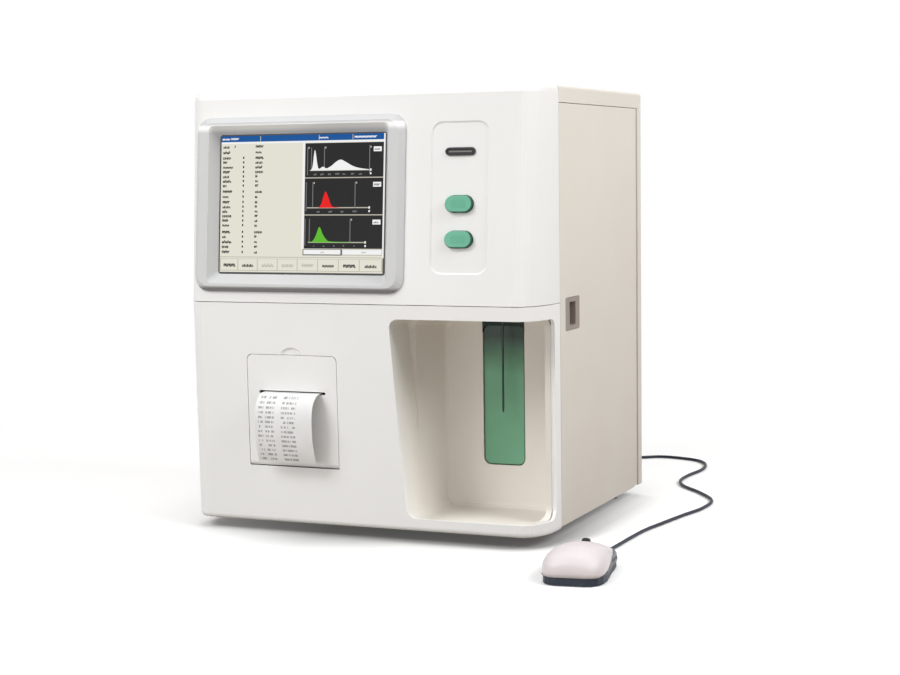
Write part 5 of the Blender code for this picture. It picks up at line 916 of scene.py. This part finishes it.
def sleeve(name, start, toward, length, wide, narrow):
    """A moulded strain relief: it tapers to the lead, with shallow grooves between its ribs."""
    profile = [(wide * 0.96, 0), (wide, length * 0.03)]
    for k in range(SLEEVE_RIBS):
        for share, sunk in RIB_SHAPE:
            t = 0.10 + 0.76 * (k + share) / SLEEVE_RIBS
            profile.append((wide + (narrow - wide) * t - sunk, length * t))
    profile += [(narrow, length * 0.97), (narrow - 0.0002, length)]
    item = rings_mesh(name, turned_on(start, toward, profile, SLEEVE_SIDES), FINISH["navy"])
    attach(item, "housing")


def bay_bead():
    """A thin bead that closes the seam between the bay and the front moulding."""
    rings = []
    for k in range(BEAD_STEPS + 1):
        z = BEAD_LOW + (BEAD_HIGH - BEAD_LOW) * k / BEAD_STEPS
        y = BEAD_Y - (z - BEAD_AT_Z) / BEAD_LEAN + BEAD_ROUND
        ring = ((BEAD_LEFT, y + BEAD_DEPTH), (BEAD_LEFT, y + BEAD_ROUND), (BEAD_LEFT + BEAD_EASE, y),
                (BEAD_RIGHT - BEAD_EASE, y), (BEAD_RIGHT, y + BEAD_ROUND), (BEAD_RIGHT, y + BEAD_DEPTH))
        rings.append([Vector((px, py, z)) for px, py in ring])
    item = rings_mesh("bay_bead", rings, FINISH["front"])
    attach(item, "housing")


def screw_heads():
    """Low domed heads with a cross recess, pressed into the painted sheet."""
    axis = Vector((0, 1, 0))
    profile = [(SCREW_R * share, distance) for share, distance in SCREW_DOME]
    bm = bmesh.new()
    for place in [(x, REAR, z) for x in SCREW_X for z in SCREW_Z]:
        rows = [[bm.verts.new(point) for point in ring]
                for ring in turned_on(place, axis, profile, SCREW_SIDES)]
        for low, high in zip(rows, rows[1:]):
            join_rings(bm, low, high)
        inner = rows[-1]
        floor = [bm.verts.new(vert.co - axis * (RECESS_DEEP if k % 6 in (0, 1, 5) else RECESS_SHALLOW))
                 for k, vert in enumerate(inner)]
        join_rings(bm, inner, floor)
        middle = bm.verts.new(Vector(place) + axis * RECESS_FLOOR)
        for k in range(SCREW_SIDES):
            bm.faces.new((floor[k], floor[(k + 1) % SCREW_SIDES], middle))
    item = from_bmesh("rear_screws", bm, FINISH["screw"])
    item.data.set_sharp_from_angle(angle=math.radians(30))
    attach(item, "housing")


plug_end = (PLUG_OUT.x, PLUG_OUT.y - 0.0118, PLUG_OUT.z)
nose = mouse_point(MOUSE_END - 0.0002, NOSE_RISE)
ahead = mouse_point(MOUSE_END + 1, NOSE_RISE) - nose
sleeve("plug_sleeve", plug_end, (0, 1, 0), length=0.0150, wide=0.0036, narrow=0.0021)
bay_bead()
sleeve("mouse_sleeve", nose, ahead, length=0.0125, wide=0.0033, narrow=0.0021)
screw_heads()


# Room, floor and lamps

FLOOR_START, FLOOR_HALF, FLOOR_DROP = -6.0, 7.0, 0.0001
SWEEP_Y, SWEEP_R, SWEEP_STEPS, WALL_TOP = 2.4, 1.2, 16, 6.0
FLOOR_BOUNCE = (144, 136, 126)
FLOOR_GLOW = 0.16
PLAIN_SPAN, PLAIN_RISE = (0.40, 0.85), 0.2
# The painted contact shadow from occlusion: its reach, span and depth, and where it weakens at the back, on
# the left and by the mouse.
CONTACT_REACH, CONTACT_SPAN, CONTACT_DEEP = 0.120, (0.50, 0.94), 0.62
CONTACT_BACK, CONTACT_LEFT, CONTACT_RIGHT = (-0.10, 0.12), (-0.19, -0.04), (0.196, 0.216)
ROOM_LIGHT = 0.36
LAMPS = (("key", (-0.85, -1.30, 1.50), (0, -0.1, 0.28), (1.0, 0.8), 21.5),
         ("top", (-0.1, 0.55, 2.0), (0, 0, 0.1), (1.3, 1.3), 10),
         ("side", (1.50, -0.20, 1.25), (0.18, 0, 0.28), (1.0, 0.9), 23),
         ("fill", (-0.20, -1.70, 0.16), (0.05, -0.1, 0.24), (1.6, 0.26), 5.8))


def floor_finish():
    """White where it is seen, with the object's shadow from the lamps and a painted contact shadow from
    occlusion, and plain white away from the object.
    """
    n = Nodes("floor")
    path = n.tree.nodes.new("ShaderNodeLightPath")
    seen = n.math("MAXIMUM", path.outputs["Is Camera Ray"], path.outputs["Is Glossy Ray"])
    seen = n.math("MAXIMUM", seen, path.outputs["Is Transmission Ray"])
    x, y, z = n.split()
    plain = n.math("MAXIMUM", n.ramp(n.length(x, y), *PLAIN_SPAN), n.ramp(z, 0.0, PLAIN_RISE))
    # Painted contact shadow: occlusion darkens the floor near the object.
    contact_shadow = n.tree.nodes.new("ShaderNodeAmbientOcclusion")
    contact_shadow.samples = 16
    contact_shadow.inputs["Distance"].default_value = CONTACT_REACH
    depth = n.math("MULTIPLY", n.ramp(y, *CONTACT_BACK, 1.0, 0.30), n.ramp(x, *CONTACT_LEFT, 0.22, 1.0))
    depth = n.math("MULTIPLY", depth, n.ramp(x, *CONTACT_RIGHT, 1.0, 0.12))
    shade = n.ramp(contact_shadow.outputs["AO"], *CONTACT_SPAN, CONTACT_DEEP, 0.0)
    near = n.math("SUBTRACT", 1.0, n.math("MULTIPLY", depth, shade))
    lit = n.math("MULTIPLY", near, n.math("SUBTRACT", 1.0, plain))
    shown = n.mix(lit, tone(0, 0, 0), tone(252, 252, 252))
    glow = n.math("MULTIPLY", n.math("MULTIPLY", seen, near), n.ramp(plain, 0, 1, FLOOR_GLOW, 1.0))
    return n.set(colour=n.mix(seen, tone(*FLOOR_BOUNCE), shown), rough=0.9, specular=0.0, glow=(1, 1, 1, 1),
                 glow_strength=glow)


def stage():
    """A floor that sweeps up into a back wall."""
    bm = bmesh.new()
    sweep = [k * math.pi / (2 * SWEEP_STEPS) for k in range(SWEEP_STEPS + 1)]
    profile = [(FLOOR_START, 0.0)]
    profile += [(SWEEP_Y + SWEEP_R * math.sin(a), SWEEP_R - SWEEP_R * math.cos(a)) for a in sweep]
    profile += [(SWEEP_Y + SWEEP_R, WALL_TOP)]
    left, right = [[bm.verts.new((x, y, z - FLOOR_DROP)) for y, z in profile]
                   for x in (-FLOOR_HALF, FLOOR_HALF)]
    for i in range(len(profile) - 1):
        bm.faces.new((left[i], right[i], right[i + 1], left[i + 1]))
    floor = from_bmesh("floor", bm, floor_finish())


def room():
    world = bpy.data.worlds.new("room")
    world.use_nodes = True
    world.node_tree.nodes["Background"].inputs["Color"].default_value = (1, 1, 1, 1)
    world.node_tree.nodes["Background"].inputs["Strength"].default_value = ROOM_LIGHT
    bpy.context.scene.world = world


def lamp(name, place, aim, size, power):
    """A soft box, with its power in watts."""
    data = bpy.data.lights.new(name, "AREA")
    data.shape = "RECTANGLE"
    data.size, data.size_y = size
    data.energy = power
    item = bpy.data.objects.new(name, data)
    item.location = place
    item.rotation_mode = "QUATERNION"
    item.rotation_quaternion = (Vector(place) - Vector(aim)).to_track_quat("Z", "Y")
    bpy.context.scene.collection.objects.link(item)


stage()
room()
for name, place, aim, size, power in LAMPS:
    lamp(name, place, aim, size, power)
bpy.context.scene.view_settings.view_transform = "Standard"
